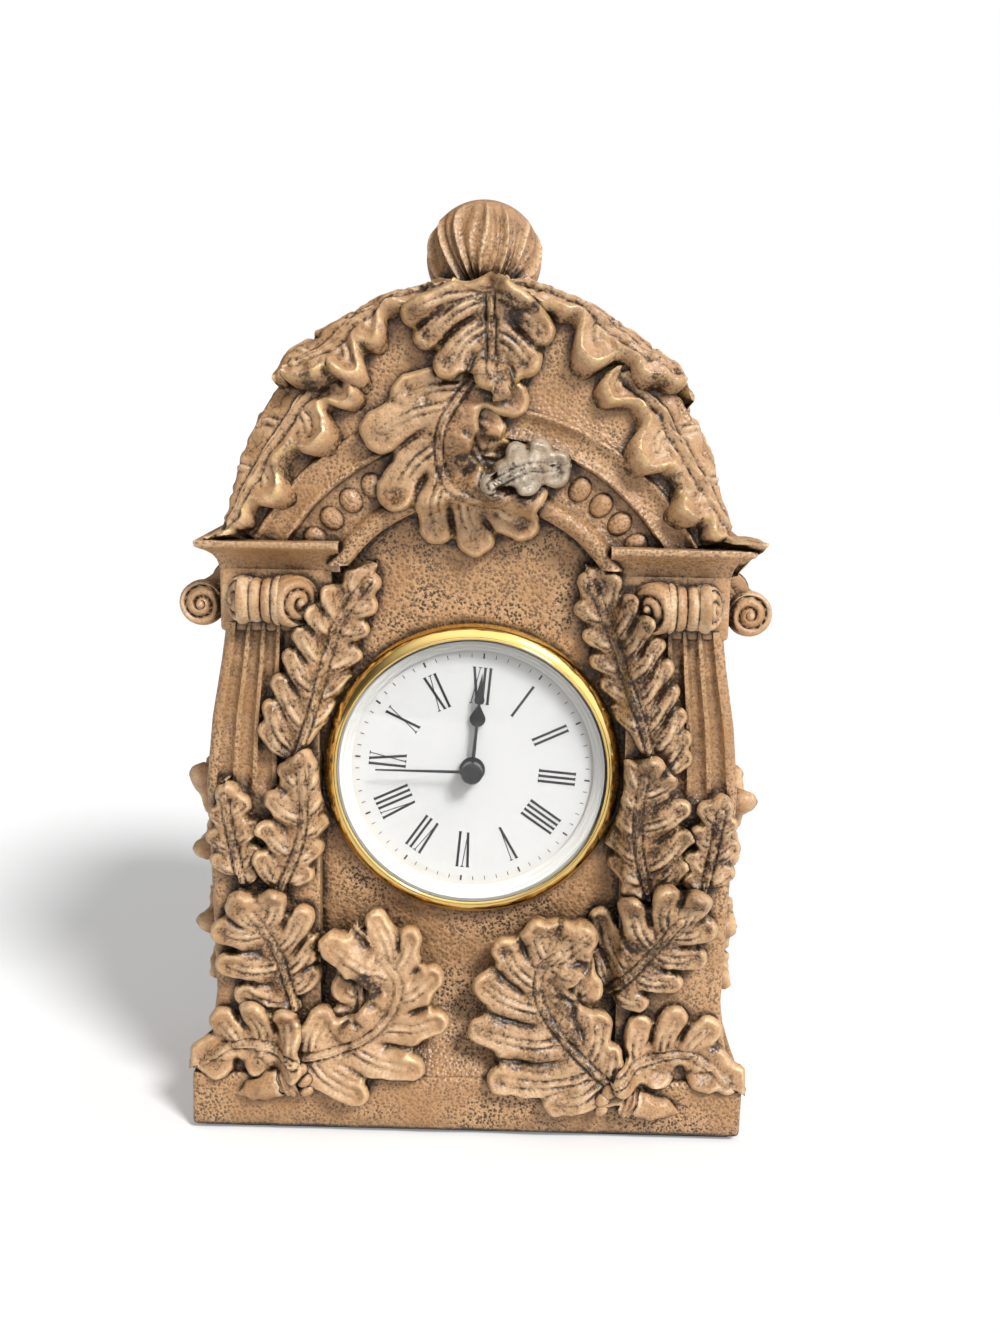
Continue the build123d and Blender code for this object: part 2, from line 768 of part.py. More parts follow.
def movement_back():
    holes = disc(knob_at, knob_shaft_radius + running_fit)
    holes += Pos(*cell_at) * Circle(cell_radius + cell_clearance)
    for place in screw_places:
        holes += disc(place, screw_radius)
    plate = layer(Circle(housing_radius) - holes, back_start, back_end)
    for at, radius in [(Vector(0, 0), arbor_radius), (third_at, thin_arbor_radius),
                       (intermediate_at, thin_arbor_radius), (rotor_at, thin_arbor_radius)]:
        plate -= layer(disc(at, radius + running_fit), back_start, back_start + pivot_depth + running_fit)
    return plate


# Wheels

def arbor(at, radius):
    return layer(disc(at, radius), plate_back - pivot_depth, back_start + pivot_depth)


def rotor():
    pinion = Pos(rotor_at.X, rotor_at.Y) * gear(rotor_teeth, rotor_module, rotor_angle + 180)
    magnet = layer(disc(rotor_at, magnet_radius), *magnet_layer)
    return layer(pinion, intermediate_layer[0], magnet_layer[0]) + magnet + arbor(rotor_at, thin_arbor_radius)


def intermediate_wheel():
    here = Pos(intermediate_at.X, intermediate_at.Y)
    wheel = here * gear(intermediate_teeth, rotor_module, gap_towards(rotor_angle, intermediate_teeth))
    pinion = here * gear(intermediate_leaves, seconds_module, intermediate_angle + 180)
    return (layer(wheel, *intermediate_layer) + layer(pinion, seconds_layer[0], intermediate_layer[0])
            + arbor(intermediate_at, thin_arbor_radius))


def seconds_wheel():
    wheel = gear(seconds_teeth, seconds_module, gap_towards(intermediate_angle, seconds_teeth))
    pinion = gear(seconds_leaves, third_module, third_angle)
    front = second_cap_start + second_cap_length / 2
    shaft = layer(Circle(arbor_radius), dial_back - front, back_start + pivot_depth)
    return layer(wheel, *seconds_layer) + layer(pinion, third_layer[0], seconds_layer[0]) + shaft


def third_wheel():
    here = Pos(third_at.X, third_at.Y)
    wheel = here * gear(third_teeth, third_module, gap_towards(third_angle + 180, third_teeth))
    pinion = here * gear(third_leaves, centre_module, third_angle + 180)
    return (layer(wheel, *third_layer) + layer(pinion, centre_layer[0], third_layer[0])
            + arbor(third_at, thin_arbor_radius))


def centre_wheel():
    wheel = gear(centre_teeth, centre_module, gap_towards(third_angle, centre_teeth))
    return layer(wheel - Circle(minute_spigot_radius + running_fit), *centre_layer)


def minute_pipe():
    front = minute_hand_lift + hand_thickness + pipe_stand
    pipe = layer(Circle(minute_pipe_radius), dial_back - front, motion_layer[0])
    pinion = layer(gear(cannon_teeth, cannon_module, motion_angle), *motion_layer)
    spigot = layer(Circle(minute_spigot_radius), motion_layer[1], centre_layer[1] + wheel_play / 2)
    hole = layer(Circle(arbor_radius + running_fit), dial_back - front - 1, third_layer[0])
    return pipe + pinion + spigot - hole


def motion_wheel():
    here = Pos(motion_at.X, motion_at.Y)
    wheel = here * gear(motion_teeth, cannon_module, gap_towards(motion_angle + 180, motion_teeth))
    pinion = here * gear(motion_leaves, hour_module, motion_angle + 180)
    hole = layer(disc(motion_at, stud_radius + running_fit), plate_back, centre_layer[0])
    return layer(wheel, *motion_layer) + layer(pinion, hour_layer[0], motion_layer[0]) - hole


def hour_wheel():
    wheel = layer(gear(hour_teeth, hour_module, gap_towards(motion_angle, hour_teeth)), *hour_layer)
    front = hour_hand_lift + hand_thickness + pipe_stand
    pipe = layer(Circle(hour_pipe_radius), dial_back - front, hour_layer[0])
    hole = layer(Circle(minute_pipe_radius + running_fit), dial_back - front - 1, motion_layer[0])
    return wheel + pipe - hole


# Hands, pointing up along local y

def spade_hand(pipe_radius, length, bulb_at, bulb_radius, lift):
    root = hand_stem_width / 2
    neck = hand_taper * root
    blade = make_face(Polyline((-root, 0), (root, 0), (neck, bulb_at), (-neck, bulb_at), close=True))
    foot = bulb_at + spade_point_start * bulb_radius
    half = spade_point_half * bulb_radius
    point = make_face(Polyline((-half, foot), (half, foot), (0, length), close=True))
    face = Circle(pipe_radius + hand_ring) + blade + point + Pos(0, bulb_at) * Circle(bulb_radius)
    return extrude(Pos(0, 0, lift) * (face - Circle(pipe_radius)), hand_thickness)


def hour_hand():
    return spade_hand(hour_pipe_radius, hour_hand_length, hour_bulb_at, hour_bulb_radius, hour_hand_lift)


def minute_hand():
    return spade_hand(minute_pipe_radius, minute_hand_length, minute_bulb_at, minute_bulb_radius,
                      minute_hand_lift)


def second_hand():
    root = second_hand_width / 2
    tip = second_hand_tip / 2
    blade = make_face(Polyline((-root, 0), (root, 0), (tip, second_hand_length), (-tip, second_hand_length),
                               close=True))
    needle = extrude(Pos(0, 0, second_hand_lift) * blade, hand_thickness)
    cap = Pos(0, 0, second_cap_start) * extrude(Circle(second_cap_radius), second_cap_length)
    cap = chamfer(cap.faces().sort_by(Axis.Z)[-1].edges(), second_cap_chamfer)
    hole = Pos(0, 0, second_cap_start - 1) * extrude(Circle(arbor_radius), 1 + second_cap_length / 2)
    return Rot(0, 0, -second_hand_angle) * (needle + cap - hole)


# Electrical pieces

def stator():
    ring_radius = magnet_radius + stator_gap + stator_ring
    face = disc(rotor_at, ring_radius)
    for start, end in ((rotor_at, core_ends[0]), (rotor_at, knee_at), (knee_at, core_ends[1])):
        face += bar(start, end, stator_arm)
    face += bar(core_ends[0], core_ends[1], core_width)
    face -= disc(rotor_at, magnet_radius + stator_gap)
    return layer(face, *stator_layer)


def along_coil(shape):
    spot = Plane(origin=(coil_middle_at.X, coil_middle_at.Y, behind(coil_middle)), x_dir=(0, 0, 1),
                 z_dir=(coil_along.X, coil_along.Y, 0))
    return spot.location * shape


def core_slot():
    return layer(bar(core_ends[0], core_ends[1], core_width), *stator_layer)


def coil_bobbin():
    tube = Cylinder(bobbin_tube, coil_length)
    end = (coil_length - flange_thickness) / 2
    flanges = [Pos(0, 0, place) * Cylinder(bobbin_flange, flange_thickness) for place in (-end, end)]
    return along_coil(tube + flanges) - core_slot()


def coil_winding():
    wound = Cylinder(coil_radius, coil_length - 2 * flange_thickness) - Cylinder(bobbin_tube, coil_length)
    return along_coil(wound)


def circuit_board():
    width = board_right - board_left
    height = board_top - board_bottom
    face = Pos((board_left + board_right) / 2, (board_bottom + board_top) / 2) * Rectangle(width, height)
    return layer(face & Circle(housing_radius - housing_wall - running_fit), *board_layer)


def timing_chip():
    return layer(disc(Vector(*chip_at), chip_radius), board_layer[0] - chip_height, board_layer[0])


def quartz_crystal():
    x, y = crystal_at
    can = Rot(90, 0, 0) * Cylinder(crystal_radius, crystal_length)
    return Pos(x, y, behind(board_layer[0] - crystal_radius - running_fit / 4)) * can


def battery_cell():
    face = Pos(*cell_at) * Circle(cell_radius)
    rim = Pos(*cell_at) * Circle(cell_rim_share * cell_radius)
    shoulder = cell_layer[0] + cell_step
    return layer(face, shoulder, cell_layer[1]) + layer(rim, cell_layer[0], shoulder)


def contact_plus():
    # upright strip from the board's edge to the side of the cell
    x, y = cell_at
    touch = cell_radius + contact_thickness / 2 + running_fit / 2
    corners = [Vector(*contact_start), Vector(x - touch - contact_bend[0], y + contact_bend[1])]
    corners += [Vector(x - touch, y + rise) for rise in contact_touch]
    strip = [bar(start, end, contact_thickness) for start, end in zip(corners, corners[1:])]
    return layer(strip[0] + strip[1:], board_layer[0] - contact_height, board_layer[0])


def contact_minus():
    middle = spring_post.Y + tongue_length / 2 - tongue_root
    tongue = Pos(spring_post.X, middle) * Rectangle(tongue_width, tongue_length)
    return layer(tongue, cell_layer[0] - contact_thickness, cell_layer[0] - running_fit / 4)


# Rear of the insert

def battery_hatch():
    plug_radius = cell_radius + cell_clearance
    plug = layer(Pos(*cell_at) * Circle(plug_radius), cell_layer[1] + running_fit + back_thickness, floor_end)
    flange = layer(Pos(*cell_at) * Circle(plug_radius + hatch_plug_fit + hatch_flange),
                   floor_end, floor_end + hatch_thickness)
    tab = layer(Pos(*cell_at) * Rectangle(1.2 * cell_radius, hatch_tab),
                floor_end + hatch_thickness, floor_end + hatch_thickness + hatch_tab)
    return plug + flange + tab


def setting_knob():
    head_start = floor_end + knob_stand
    pivot = layer(disc(knob_at, arbor_radius), plate_back - pivot_depth, plate_back + wheel_play / 2)
    shaft = layer(disc(knob_at, knob_shaft_radius), plate_back + wheel_play / 2, head_start)
    here = Pos(knob_at.X, knob_at.Y)
    pinion = layer(here * gear(cannon_teeth, cannon_module, motion_angle + 180), *motion_layer)
    head = here * gear(knob_ribs, 2 * knob_radius / knob_ribs, 0)
    return pivot + shaft + pinion + layer(head, head_start, head_start + knob_length)


def back_screws():
    screws = []
    for place in screw_places:
        shank = layer(disc(place, screw_radius), back_start + screw_tip_room, floor_end)
        head = layer(disc(place, screw_head_radius), floor_end, floor_end + screw_head_height)
        slot = layer(Pos(place.X, place.Y) * Rectangle(3 * screw_head_radius, screw_slot),
                     floor_end + screw_head_height / 2, floor_end + screw_head_height)
        screws.append(shank + head - slot)
    return Compound(children=screws)


turn = radians(insert_turn)
seat = Plane(origin=(0, field_y, dial_height), x_dir=(cos(turn), 0, -sin(turn)), z_dir=(0, -1, 0))
insert_pieces = (
    bezel, reflector_ring, lens, dial, insert_cup, grip_band, movement_housing, movement_back,
    rotor, intermediate_wheel, seconds_wheel, third_wheel, centre_wheel, minute_pipe, motion_wheel, hour_wheel,
    hour_hand, minute_hand, second_hand, stator, coil_bobbin, coil_winding, circuit_board, timing_chip,
    quartz_crystal, battery_cell, contact_plus, contact_minus, battery_hatch, setting_knob, back_screws,
)

export_step(case_casting(), "parts/case_casting.step")
export_step(base_felt(), "parts/base_felt.step")
for piece in insert_pieces:
    export_step(seat.location * piece(), f"parts/{piece.__name__}.step")
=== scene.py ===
import math

import bmesh
import bpy
import numpy as np
from mathutils import Matrix, Vector, noise
from mathutils.bvhtree import BVHTree


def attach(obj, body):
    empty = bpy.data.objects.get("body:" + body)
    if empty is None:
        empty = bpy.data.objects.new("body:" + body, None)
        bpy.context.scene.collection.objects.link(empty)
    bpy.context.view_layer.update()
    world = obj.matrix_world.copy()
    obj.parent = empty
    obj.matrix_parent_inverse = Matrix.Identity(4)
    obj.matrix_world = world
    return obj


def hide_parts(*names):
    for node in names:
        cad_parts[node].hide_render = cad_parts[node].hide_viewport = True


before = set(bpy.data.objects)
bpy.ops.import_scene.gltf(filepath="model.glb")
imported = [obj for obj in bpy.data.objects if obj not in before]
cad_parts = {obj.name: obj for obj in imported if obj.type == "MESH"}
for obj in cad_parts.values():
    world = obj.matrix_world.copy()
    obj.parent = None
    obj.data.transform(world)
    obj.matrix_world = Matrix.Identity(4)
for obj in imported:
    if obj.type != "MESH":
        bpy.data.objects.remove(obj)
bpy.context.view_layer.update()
mm = 0.001
tau = 2 * math.pi
axisGap = 0.01  # radius at which a turned profile meets its axis
castSeed = 7  # the wander of cast surfaces differs from run to run without it
noise.seed_set(castSeed)
print("frame loaded:", len(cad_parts), "nodes")

# all shapes below are lists of points and faces in millimetres, in the part's own frame


def clamped(value):
    return min(1.0, max(0.0, value))


def joined(*shapes):
    verts, faces = [], []
    for points, polys in shapes:
        start = len(verts)
        verts.extend(points)
        faces.extend([[start + i for i in poly] for poly in polys])
    return verts, faces


def loft(rings, close=False):
    # closed rings of equal length, capped at both ends or joined round
    size = len(rings[0])
    verts = [tuple(p) for ring in rings for p in ring]
    faces = []
    pairs = len(rings) if close else len(rings) - 1
    for k in range(pairs):
        a, b = k * size, (k + 1) % len(rings) * size
        for i in range(size):
            j = (i + 1) % size
            faces.append([a + i, a + j, b + j, b + i])
    if not close:
        for ring, first in ((rings[0], 0), (rings[-1], (len(rings) - 1) * size)):
            verts.append(tuple(np.mean(np.array(ring, float), axis=0)))
            hub = len(verts) - 1
            faces.extend([[hub, first + i, first + (i + 1) % size] for i in range(size)])
    return verts, faces


def lathe(profile, place, axis, side, segments):
    # profile of (radius, height) turned about an axis; side is where the first meridian lies
    axis, side = Vector(axis).normalized(), Vector(side).normalized()
    other = axis.cross(side)
    rings = []
    for k in range(segments):
        turn = tau * k / segments
        out = side * math.cos(turn) + other * math.sin(turn)
        rings.append([Vector(place) + out * r + axis * h for r, h in profile])
    return loft(rings, close=True)


def softBox(low, high, radius, step):
    # box with rounded edges, cut into a grid so that it can take a cast unevenness
    bm = bmesh.new()
    bmesh.ops.create_cube(bm, size=1.0)
    for v in bm.verts:
        v.co = Vector([low[i] + (v.co[i] + 0.5) * (high[i] - low[i]) for i in range(3)])
    bmesh.ops.bevel(bm, geom=bm.edges[:], offset=radius, segments=3, profile=0.5, affect="EDGES")
    for i in range(3):
        normal = [0, 0, 0]
        normal[i] = 1
        flat = high[i] - low[i] - 2 * radius
        cuts = int(flat / step)
        for k in range(1, cuts):
            at = [0, 0, 0]
            at[i] = low[i] + radius + k * flat / cuts
            bmesh.ops.bisect_plane(bm, geom=bm.verts[:] + bm.edges[:] + bm.faces[:], plane_co=at, plane_no=normal)
    bm.verts.index_update()
    shape = [tuple(v.co) for v in bm.verts], [[v.index for v in f.verts] for f in bm.faces]
    bm.free()
    return shape


def bothSides(shape):
    verts, faces = shape
    return joined(shape, ([(-x, y, z) for x, y, z in verts], [poly[::-1] for poly in faces]))


def uneven(shape, amount, size):
    # small wander of a hand-finished casting
    verts = [tuple(Vector(p) + noise.noise_vector(Vector(p) / size) * amount) for p in shape[0]]
    return verts, shape[1]


def makePiece(name, shape, material, body, sharp=35.0, attributes=None):
    mesh = bpy.data.meshes.new(name)
    mesh.from_pydata([(x * mm, y * mm, z * mm) for x, y, z in shape[0]], [], shape[1])
    for key, values in (attributes or {}).items():
        layer = mesh.attributes.new(key, "FLOAT", "POINT")
        layer.data.foreach_set("value", np.asarray(values, np.float32))
    bm = bmesh.new()
    bm.from_mesh(mesh)
    bmesh.ops.remove_doubles(bm, verts=bm.verts, dist=1e-6)
    bmesh.ops.dissolve_degenerate(bm, edges=bm.edges, dist=1e-7)
    bmesh.ops.recalc_face_normals(bm, faces=bm.faces)
    bm.to_mesh(mesh)
    bm.free()
    mesh.shade_smooth()
    mesh.set_sharp_from_angle(angle=math.radians(sharp))
    piece = bpy.data.objects.new(name, mesh)
    bpy.context.scene.collection.objects.link(piece)
    mesh.materials.append(material)
    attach(piece, body)
    return piece


def castPiece(name, shape, material, marks, sharp=35.0):
    # a part of the one-piece case
    piece = makePiece(name, shape, material, "case", sharp, marks)
    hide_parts("case_casting")


# camera at the photograph's viewing point

view = {
    "place": (11.04, -375.0, 188.4),
    "pitch": 11.443,
    "yaw": -0.777,
    "roll": 1.076,
    "focalPixels": 1500.0,
    "imageHeight": 1333.0,
    "sensor": 36.0,
}


def addCamera():
    data = bpy.data.cameras.new("photoCamera")
    data.sensor_fit = "VERTICAL"
    data.sensor_height = view["sensor"]
    data.lens = view["focalPixels"] / view["imageHeight"] * view["sensor"]
    data.clip_start = 0.01
    pitch, yaw, roll = (math.radians(view[k]) for k in ("pitch", "yaw", "roll"))
    ahead = Vector((math.sin(yaw) * math.cos(pitch), math.cos(yaw) * math.cos(pitch), -math.sin(pitch)))
    level = Vector((math.cos(yaw), -math.sin(yaw), 0))
    upright = level.cross(ahead)
    right = math.cos(roll) * level + math.sin(roll) * upright
    up = math.cos(roll) * upright - math.sin(roll) * level
    camera = bpy.data.objects.new("photoCamera", data)
    turn = Matrix((right, up, -ahead)).transposed()
    camera.matrix_world = Matrix.Translation(Vector(view["place"]) * mm) @ turn.to_4x4()
    bpy.context.scene.collection.objects.link(camera)
    bpy.context.scene.camera = camera


addCamera()
print("camera placed")

# materials

mixSockets = {"RGBA": (0, 6, 7, 2), "FLOAT": (0, 2, 3, 0)}  # a Mix node's factor, two inputs and result, by place


def newMaterial(name):
    material = bpy.data.materials.new(name)
    material.use_nodes = True
    return material, material.node_tree, material.node_tree.nodes["Principled BSDF"]


def addNode(tree, kind, **values):
    node = tree.nodes.new(kind)
    for key, value in values.items():
        setattr(node, key, value)
    return node


def plug(tree, socket, value):
    # another node's output is linked, anything else is a value
    if isinstance(value, bpy.types.NodeSocket):
        tree.links.new(value, socket)
    else:
        socket.default_value = value


def feed(tree, node, **values):
    for key, value in values.items():
        plug(tree, node.inputs[key.replace("_", " ")], value)


def objectCoords(tree):
    return addNode(tree, "ShaderNodeTexCoord").outputs["Object"]


def noiseNode(tree, coords, scale, detail=3.0, rough=0.55):
    node = addNode(tree, "ShaderNodeTexNoise")
    feed(tree, node, Vector=coords, Scale=scale, Detail=detail, Roughness=rough)
    return node.outputs["Fac"]


def rampNode(tree, fac, low, high, first=0.0, last=1.0):
    node = addNode(tree, "ShaderNodeMapRange", interpolation_type="SMOOTHSTEP")
    feed(tree, node, Value=fac, From_Min=low, From_Max=high, To_Min=first, To_Max=last)
    return node.outputs["Result"]


def mathNode(tree, operation, a, b):
    node = addNode(tree, "ShaderNodeMath", operation=operation, use_clamp=operation in ("ADD", "MAXIMUM"))
    for socket, value in zip(node.inputs, (a, b)):
        plug(tree, socket, value)
    return node.outputs[0]


def mixNode(tree, fac, first, second, kind="RGBA"):
    node = addNode(tree, "ShaderNodeMix", data_type=kind)
    *places, result = mixSockets[kind]
    for place, value in zip(places, (fac, first, second)):
        plug(tree, node.inputs[place], value)
    return node.outputs[result]


def bumpNode(tree, height, strength, depth):
    node = addNode(tree, "ShaderNodeBump")
    feed(tree, node, Strength=strength, Distance=depth, Height=height)
    return node.outputs["Normal"]


def hollowNode(tree, reach, inside=False):
    node = addNode(tree, "ShaderNodeAmbientOcclusion", samples=8, inside=inside, only_local=inside)
    feed(tree, node, Distance=reach)
    return node.outputs["AO"]


# noises are (scale, detail, roughness), fades are (from, to) and the two ends if they aren't 0 and 1
resinLook = {
    "tan": (0.50, 0.27, 0.12, 1), "sand": (0.70, 0.42, 0.22, 1), "wearAndHighlight": (0.92, 0.65, 0.40, 1),
    "umber": (0.034, 0.017, 0.008, 1), "gold": (0.78, 0.50, 0.17, 1),
    "patches": (60.0, 4.0, 0.55), "mottle": (300.0, 4.0, 0.65), "grain": (1300.0, 3.0, 0.7), "stippleScale": 1050.0,
    "edgeReach": 0.0016, "edgeFade": (0.80, 0.42), "cavityReach": 0.0035, "cavityFade": (0.94, 0.56),
    "shadeReach": 0.011, "shadeFade": (0.84, 0.30, 0.0, 0.72),
    "sandFade": (0.3, 0.7), "wearHighlightFade": (0.3, 0.62, 0.3, 0.95),
    "grainBreak": 1.7, "mottleBreak": 1.3, "darkeningFade": (0.2, 1.0),
    "dotFade": (0.48, 0.22), "grainFade": (0.52, 0.60), "pitPatches": (0.35, 0.62, 0.4, 1.0),
    "pitStrength": 0.95, "leafClean": 0.7,
    "giltFade": (0.42, 0.58), "giltMetal": 0.85, "giltShine": 0.15,
    "dotRelief": 0.6, "mottleRelief": 0.35, "grainRelief": 0.12, "bump": 0.7, "bumpDepth": 0.0008,
    "roughness": 0.37, "smoother": 0.1, "rougher": 0.14, "roughFade": (0.2, 0.8),
}


def resinMaterial(name, changes=None):
    look = {**resinLook, **(changes or {})}
    material, tree, shader = newMaterial(name)
    coords = objectCoords(tree)

    def calc(operation, a, b):
        return mathNode(tree, operation, a, b)

    def times(a, b):
        return mathNode(tree, "MULTIPLY", a, b)

    def fade(value, key):
        return rampNode(tree, value, *look[key])

    leaf, wash, rim, gilt = (addNode(tree, "ShaderNodeAttribute", attribute_name=key).outputs["Fac"]
                             for key in ("leaf", "wash", "rim", "gilt"))
    patches, mottle, grain = (noiseNode(tree, coords, *look[key]) for key in ("patches", "mottle", "grain"))
    cells = addNode(tree, "ShaderNodeTexVoronoi")
    feed(tree, cells, Vector=coords, Scale=look["stippleScale"])
    dots = cells.outputs["Distance"]
    # edges are worn light, partly also a painted highlight; hollows keep the brown wash, and painted shade darkens them
    # and the places under overhangs
    edges = calc("MAXIMUM", fade(hollowNode(tree, look["edgeReach"], True), "edgeFade"), rim)
    # painted shade: the near occlusion stands for the brown wash and the shade in hollows at once, the far occlusion
    # only for shade under leaves, cornices and in the flutes
    cavityGlazeAndShade = calc("MAXIMUM", fade(hollowNode(tree, look["cavityReach"]), "cavityFade"),
                  fade(hollowNode(tree, look["shadeReach"]), "shadeFade"))
    body = mixNode(tree, fade(patches, "sandFade"), look["tan"], look["sand"])
    # painted highlight: edges, rims and ridges take the light worn colour, partly as wear and partly standing in for
    # light falling on them
    body = mixNode(tree, times(edges, fade(mottle, "wearHighlightFade")), body, look["wearAndHighlight"])
    hollowDarkening = calc("MAXIMUM", cavityGlazeAndShade, wash)
    # the wash and the painted shade break up into grains where they thin out
    unrest = times(calc("SUBTRACT", grain, 0.5), look["grainBreak"])
    drift = times(calc("SUBTRACT", mottle, 0.5), look["mottleBreak"])
    glazeAndPaintedShade = fade(calc("SUBTRACT", calc("SUBTRACT", hollowDarkening, unrest), drift), "darkeningFade")
    # dabbed pits, fewer on the leaves and the fine mouldings
    ground = calc("SUBTRACT", look["pitStrength"], times(leaf, look["leafClean"]))
    pits = calc("MAXIMUM", fade(dots, "dotFade"), fade(grain, "grainFade"))
    pits = times(times(pits, fade(patches, "pitPatches")), ground)
    # the brown wash, the painted shade and the pits all darken the colour to umber
    color = mixNode(tree, calc("MAXIMUM", glazeAndPaintedShade, pits), body, look["umber"])
    rubbed = times(gilt, fade(mottle, "giltFade"))
    color = mixNode(tree, rubbed, color, look["gold"])
    relief = calc("ADD", times(times(dots, ground), look["dotRelief"]),
                  calc("ADD", times(mottle, look["mottleRelief"]), times(grain, look["grainRelief"])))
    low, high = look["roughness"] - look["smoother"], look["roughness"] + look["rougher"]
    rough = rampNode(tree, mottle, *look["roughFade"], low, high)
    feed(tree, shader, Base_Color=color, Normal=bumpNode(tree, relief, look["bump"], look["bumpDepth"]),
         Metallic=times(rubbed, look["giltMetal"]),
         Roughness=calc("SUBTRACT", rough, times(rubbed, look["giltShine"])))
    return material


surfaceLook = {"roughFade": (0.2, 0.8), "smoother": 0.8, "rougher": 1.2, "leastRough": 0.02, "bumpDepth": 0.0002}


def surfaceMaterial(name, color, roughness, vary, scale, bump, metallic=0.0, coat=0.0):
    # moulded, printed or metal surface with a fine grain
    k = surfaceLook
    material, tree, shader = newMaterial(name)
    grain = noiseNode(tree, objectCoords(tree), scale)
    dark = tuple(c * (1 - vary) for c in color) + (1,)
    light = tuple(min(1.0, c * (1 + vary)) for c in color) + (1,)
    low, high = max(k["leastRough"], roughness * k["smoother"]), roughness * k["rougher"]
    feed(tree, shader, Base_Color=mixNode(tree, grain, dark, light), Normal=bumpNode(tree, grain, bump, k["bumpDepth"]),
         Metallic=metallic, Coat_Weight=coat, Roughness=rampNode(tree, grain, *k["roughFade"], low, high))
    return material


resin = resinMaterial("antiquedResin")
silverResin = resinMaterial("silveredResin", {"tan": (0.42, 0.28, 0.17, 1), "sand": (0.52, 0.42, 0.31, 1),
                                             "wearAndHighlight": (0.78, 0.68, 0.55, 1), "roughness": 0.3})
brass = surfaceMaterial("polishedBrass", (0.86, 0.62, 0.22), 0.13, vary=0.05, scale=120.0, bump=0.02, metallic=1.0)
blackGloss = surfaceMaterial("blackEnamel", (0.012, 0.012, 0.013), 0.22, vary=0.3, scale=500.0, bump=0.02, coat=0.4)
print("resin and metal materials made")

# case body: the main sizes of the solids, with softened edges

case = {
    "baseHalf": 68.0, "frontY": -33.0, "rearY": 33.0, "backY": 31.0, "felt": 1.2, "plinthTop": 15.5,
    "fieldY": -22.0, "archY": -27.0, "nicheHalf": 36.6, "boreRadius": 31.2,
    "dialZ": 91.6, "springZ": 147.0, "roofRadius": 57.5, "archZ": 121.0,
    "plinthRound": 1.3, "plinthStep": 3.5, "wander": 0.35, "wanderSize": 14.0,
}


def plinth():
    c = case
    low = (-c["baseHalf"], c["frontY"], c["felt"])
    high = (c["baseHalf"], c["rearY"], c["plinthTop"])
    return uneven(softBox(low, high, c["plinthRound"], c["plinthStep"]), c["wander"], c["wanderSize"])


cove = {"half": 37.0, "fade": 3.0, "top": 46.0, "foot": 15.2, "reach": 10.2, "hollow": 2.4}


def coveDepth(x, z):
    # how far the field sweeps forward, down to the plinth's front edge
    k = cove
    fall = clamped((k["top"] - z) / (k["top"] - k["foot"]))
    side = clamped((k["half"] + k["fade"] - abs(x)) / k["fade"])
    return k["reach"] * fall ** k["hollow"] * side


wall = {"half": 58.0, "sunk": 1.0, "inset": 1.5, "spokes": 240, "rings": 24, "firstRing": 0.06,
        "farthest": 130.0, "halvings": 30, "rearProud": 0.15}


def inWall(x, z):
    c, k = case, wall
    rise = z - c["springZ"]
    under = rise < 0 or math.hypot(x, rise) < c["roofRadius"] - k["inset"]
    return abs(x) < k["half"] and z > c["plinthTop"] - k["sunk"] and under


def wallCore():
    # wall with the bore for the insert, drawn as rings between the bore and the rim of the block
    c, k = case, wall
    shares = [0.0] + list(np.linspace(k["firstRing"], 1.0, k["rings"]))
    outline = []
    for i in range(k["spokes"]):
        turn = tau * i / k["spokes"]
        sx, sz = math.cos(turn), math.sin(turn)
        low, high = c["boreRadius"], k["farthest"]
        for _ in range(k["halvings"]):
            middle = (low + high) / 2
            if inWall(middle * sx, c["dialZ"] + middle * sz):
                low = middle
            else:
                high = middle
        outline.append((sx, sz, low))
    rings = []
    for y, order in ((c["fieldY"], shares), (c["backY"] + k["rearProud"], shares[::-1])):
        for share in order:
            ring = []
            for sx, sz, reach in outline:
                r = c["boreRadius"] + share * (reach - c["boreRadius"])
                x, z = r * sx, c["dialZ"] + r * sz
                ring.append((x, y - coveDepth(x, z) if y < 0 else y, z))
            rings.append(ring)
    return loft(rings, close=True)


# levels are (height, half width, front)
column = {
    "levels": ((14.5, 66.5, -31.0), (22.0, 64.2, -29.4), (34.0, 62.5, -28.2), (60.0, 63.2, -28.0),
               (88.0, 64.0, -28.0), (104.0, 62.4, -28.0), (118.0, 60.0, -27.6), (127.0, 58.8, -27.0)),
    "foot": 14.5, "finerFrom": 84.0, "top": 127.2, "coarseStep": 2.5, "fineStep": 1.2,
    "fluteFoot": 86.0, "fluteRun": 3.0, "fluteDepth": 1.3, "frontFlutes": 4, "flankFlutes": 7, "perFlute": 10,
    "fluteFrom": 0.14, "fluteSpan": 0.72, "fluteRound": 0.6,
    "cornerRound": 2.2, "cornerSteps": 6, "innerFlat": 6.0, "innerSetback": 0.5,
    "flankStart": 0.4, "flankEnd": 2.0, "rearInset": 1.0,
}


def fluteHollow(share, flutes):
    k = column
    phase = share * flutes % 1.0
    return max(0.0, math.sin(math.pi * clamped((phase - k["fluteFrom"]) / k["fluteSpan"]))) ** k["fluteRound"]


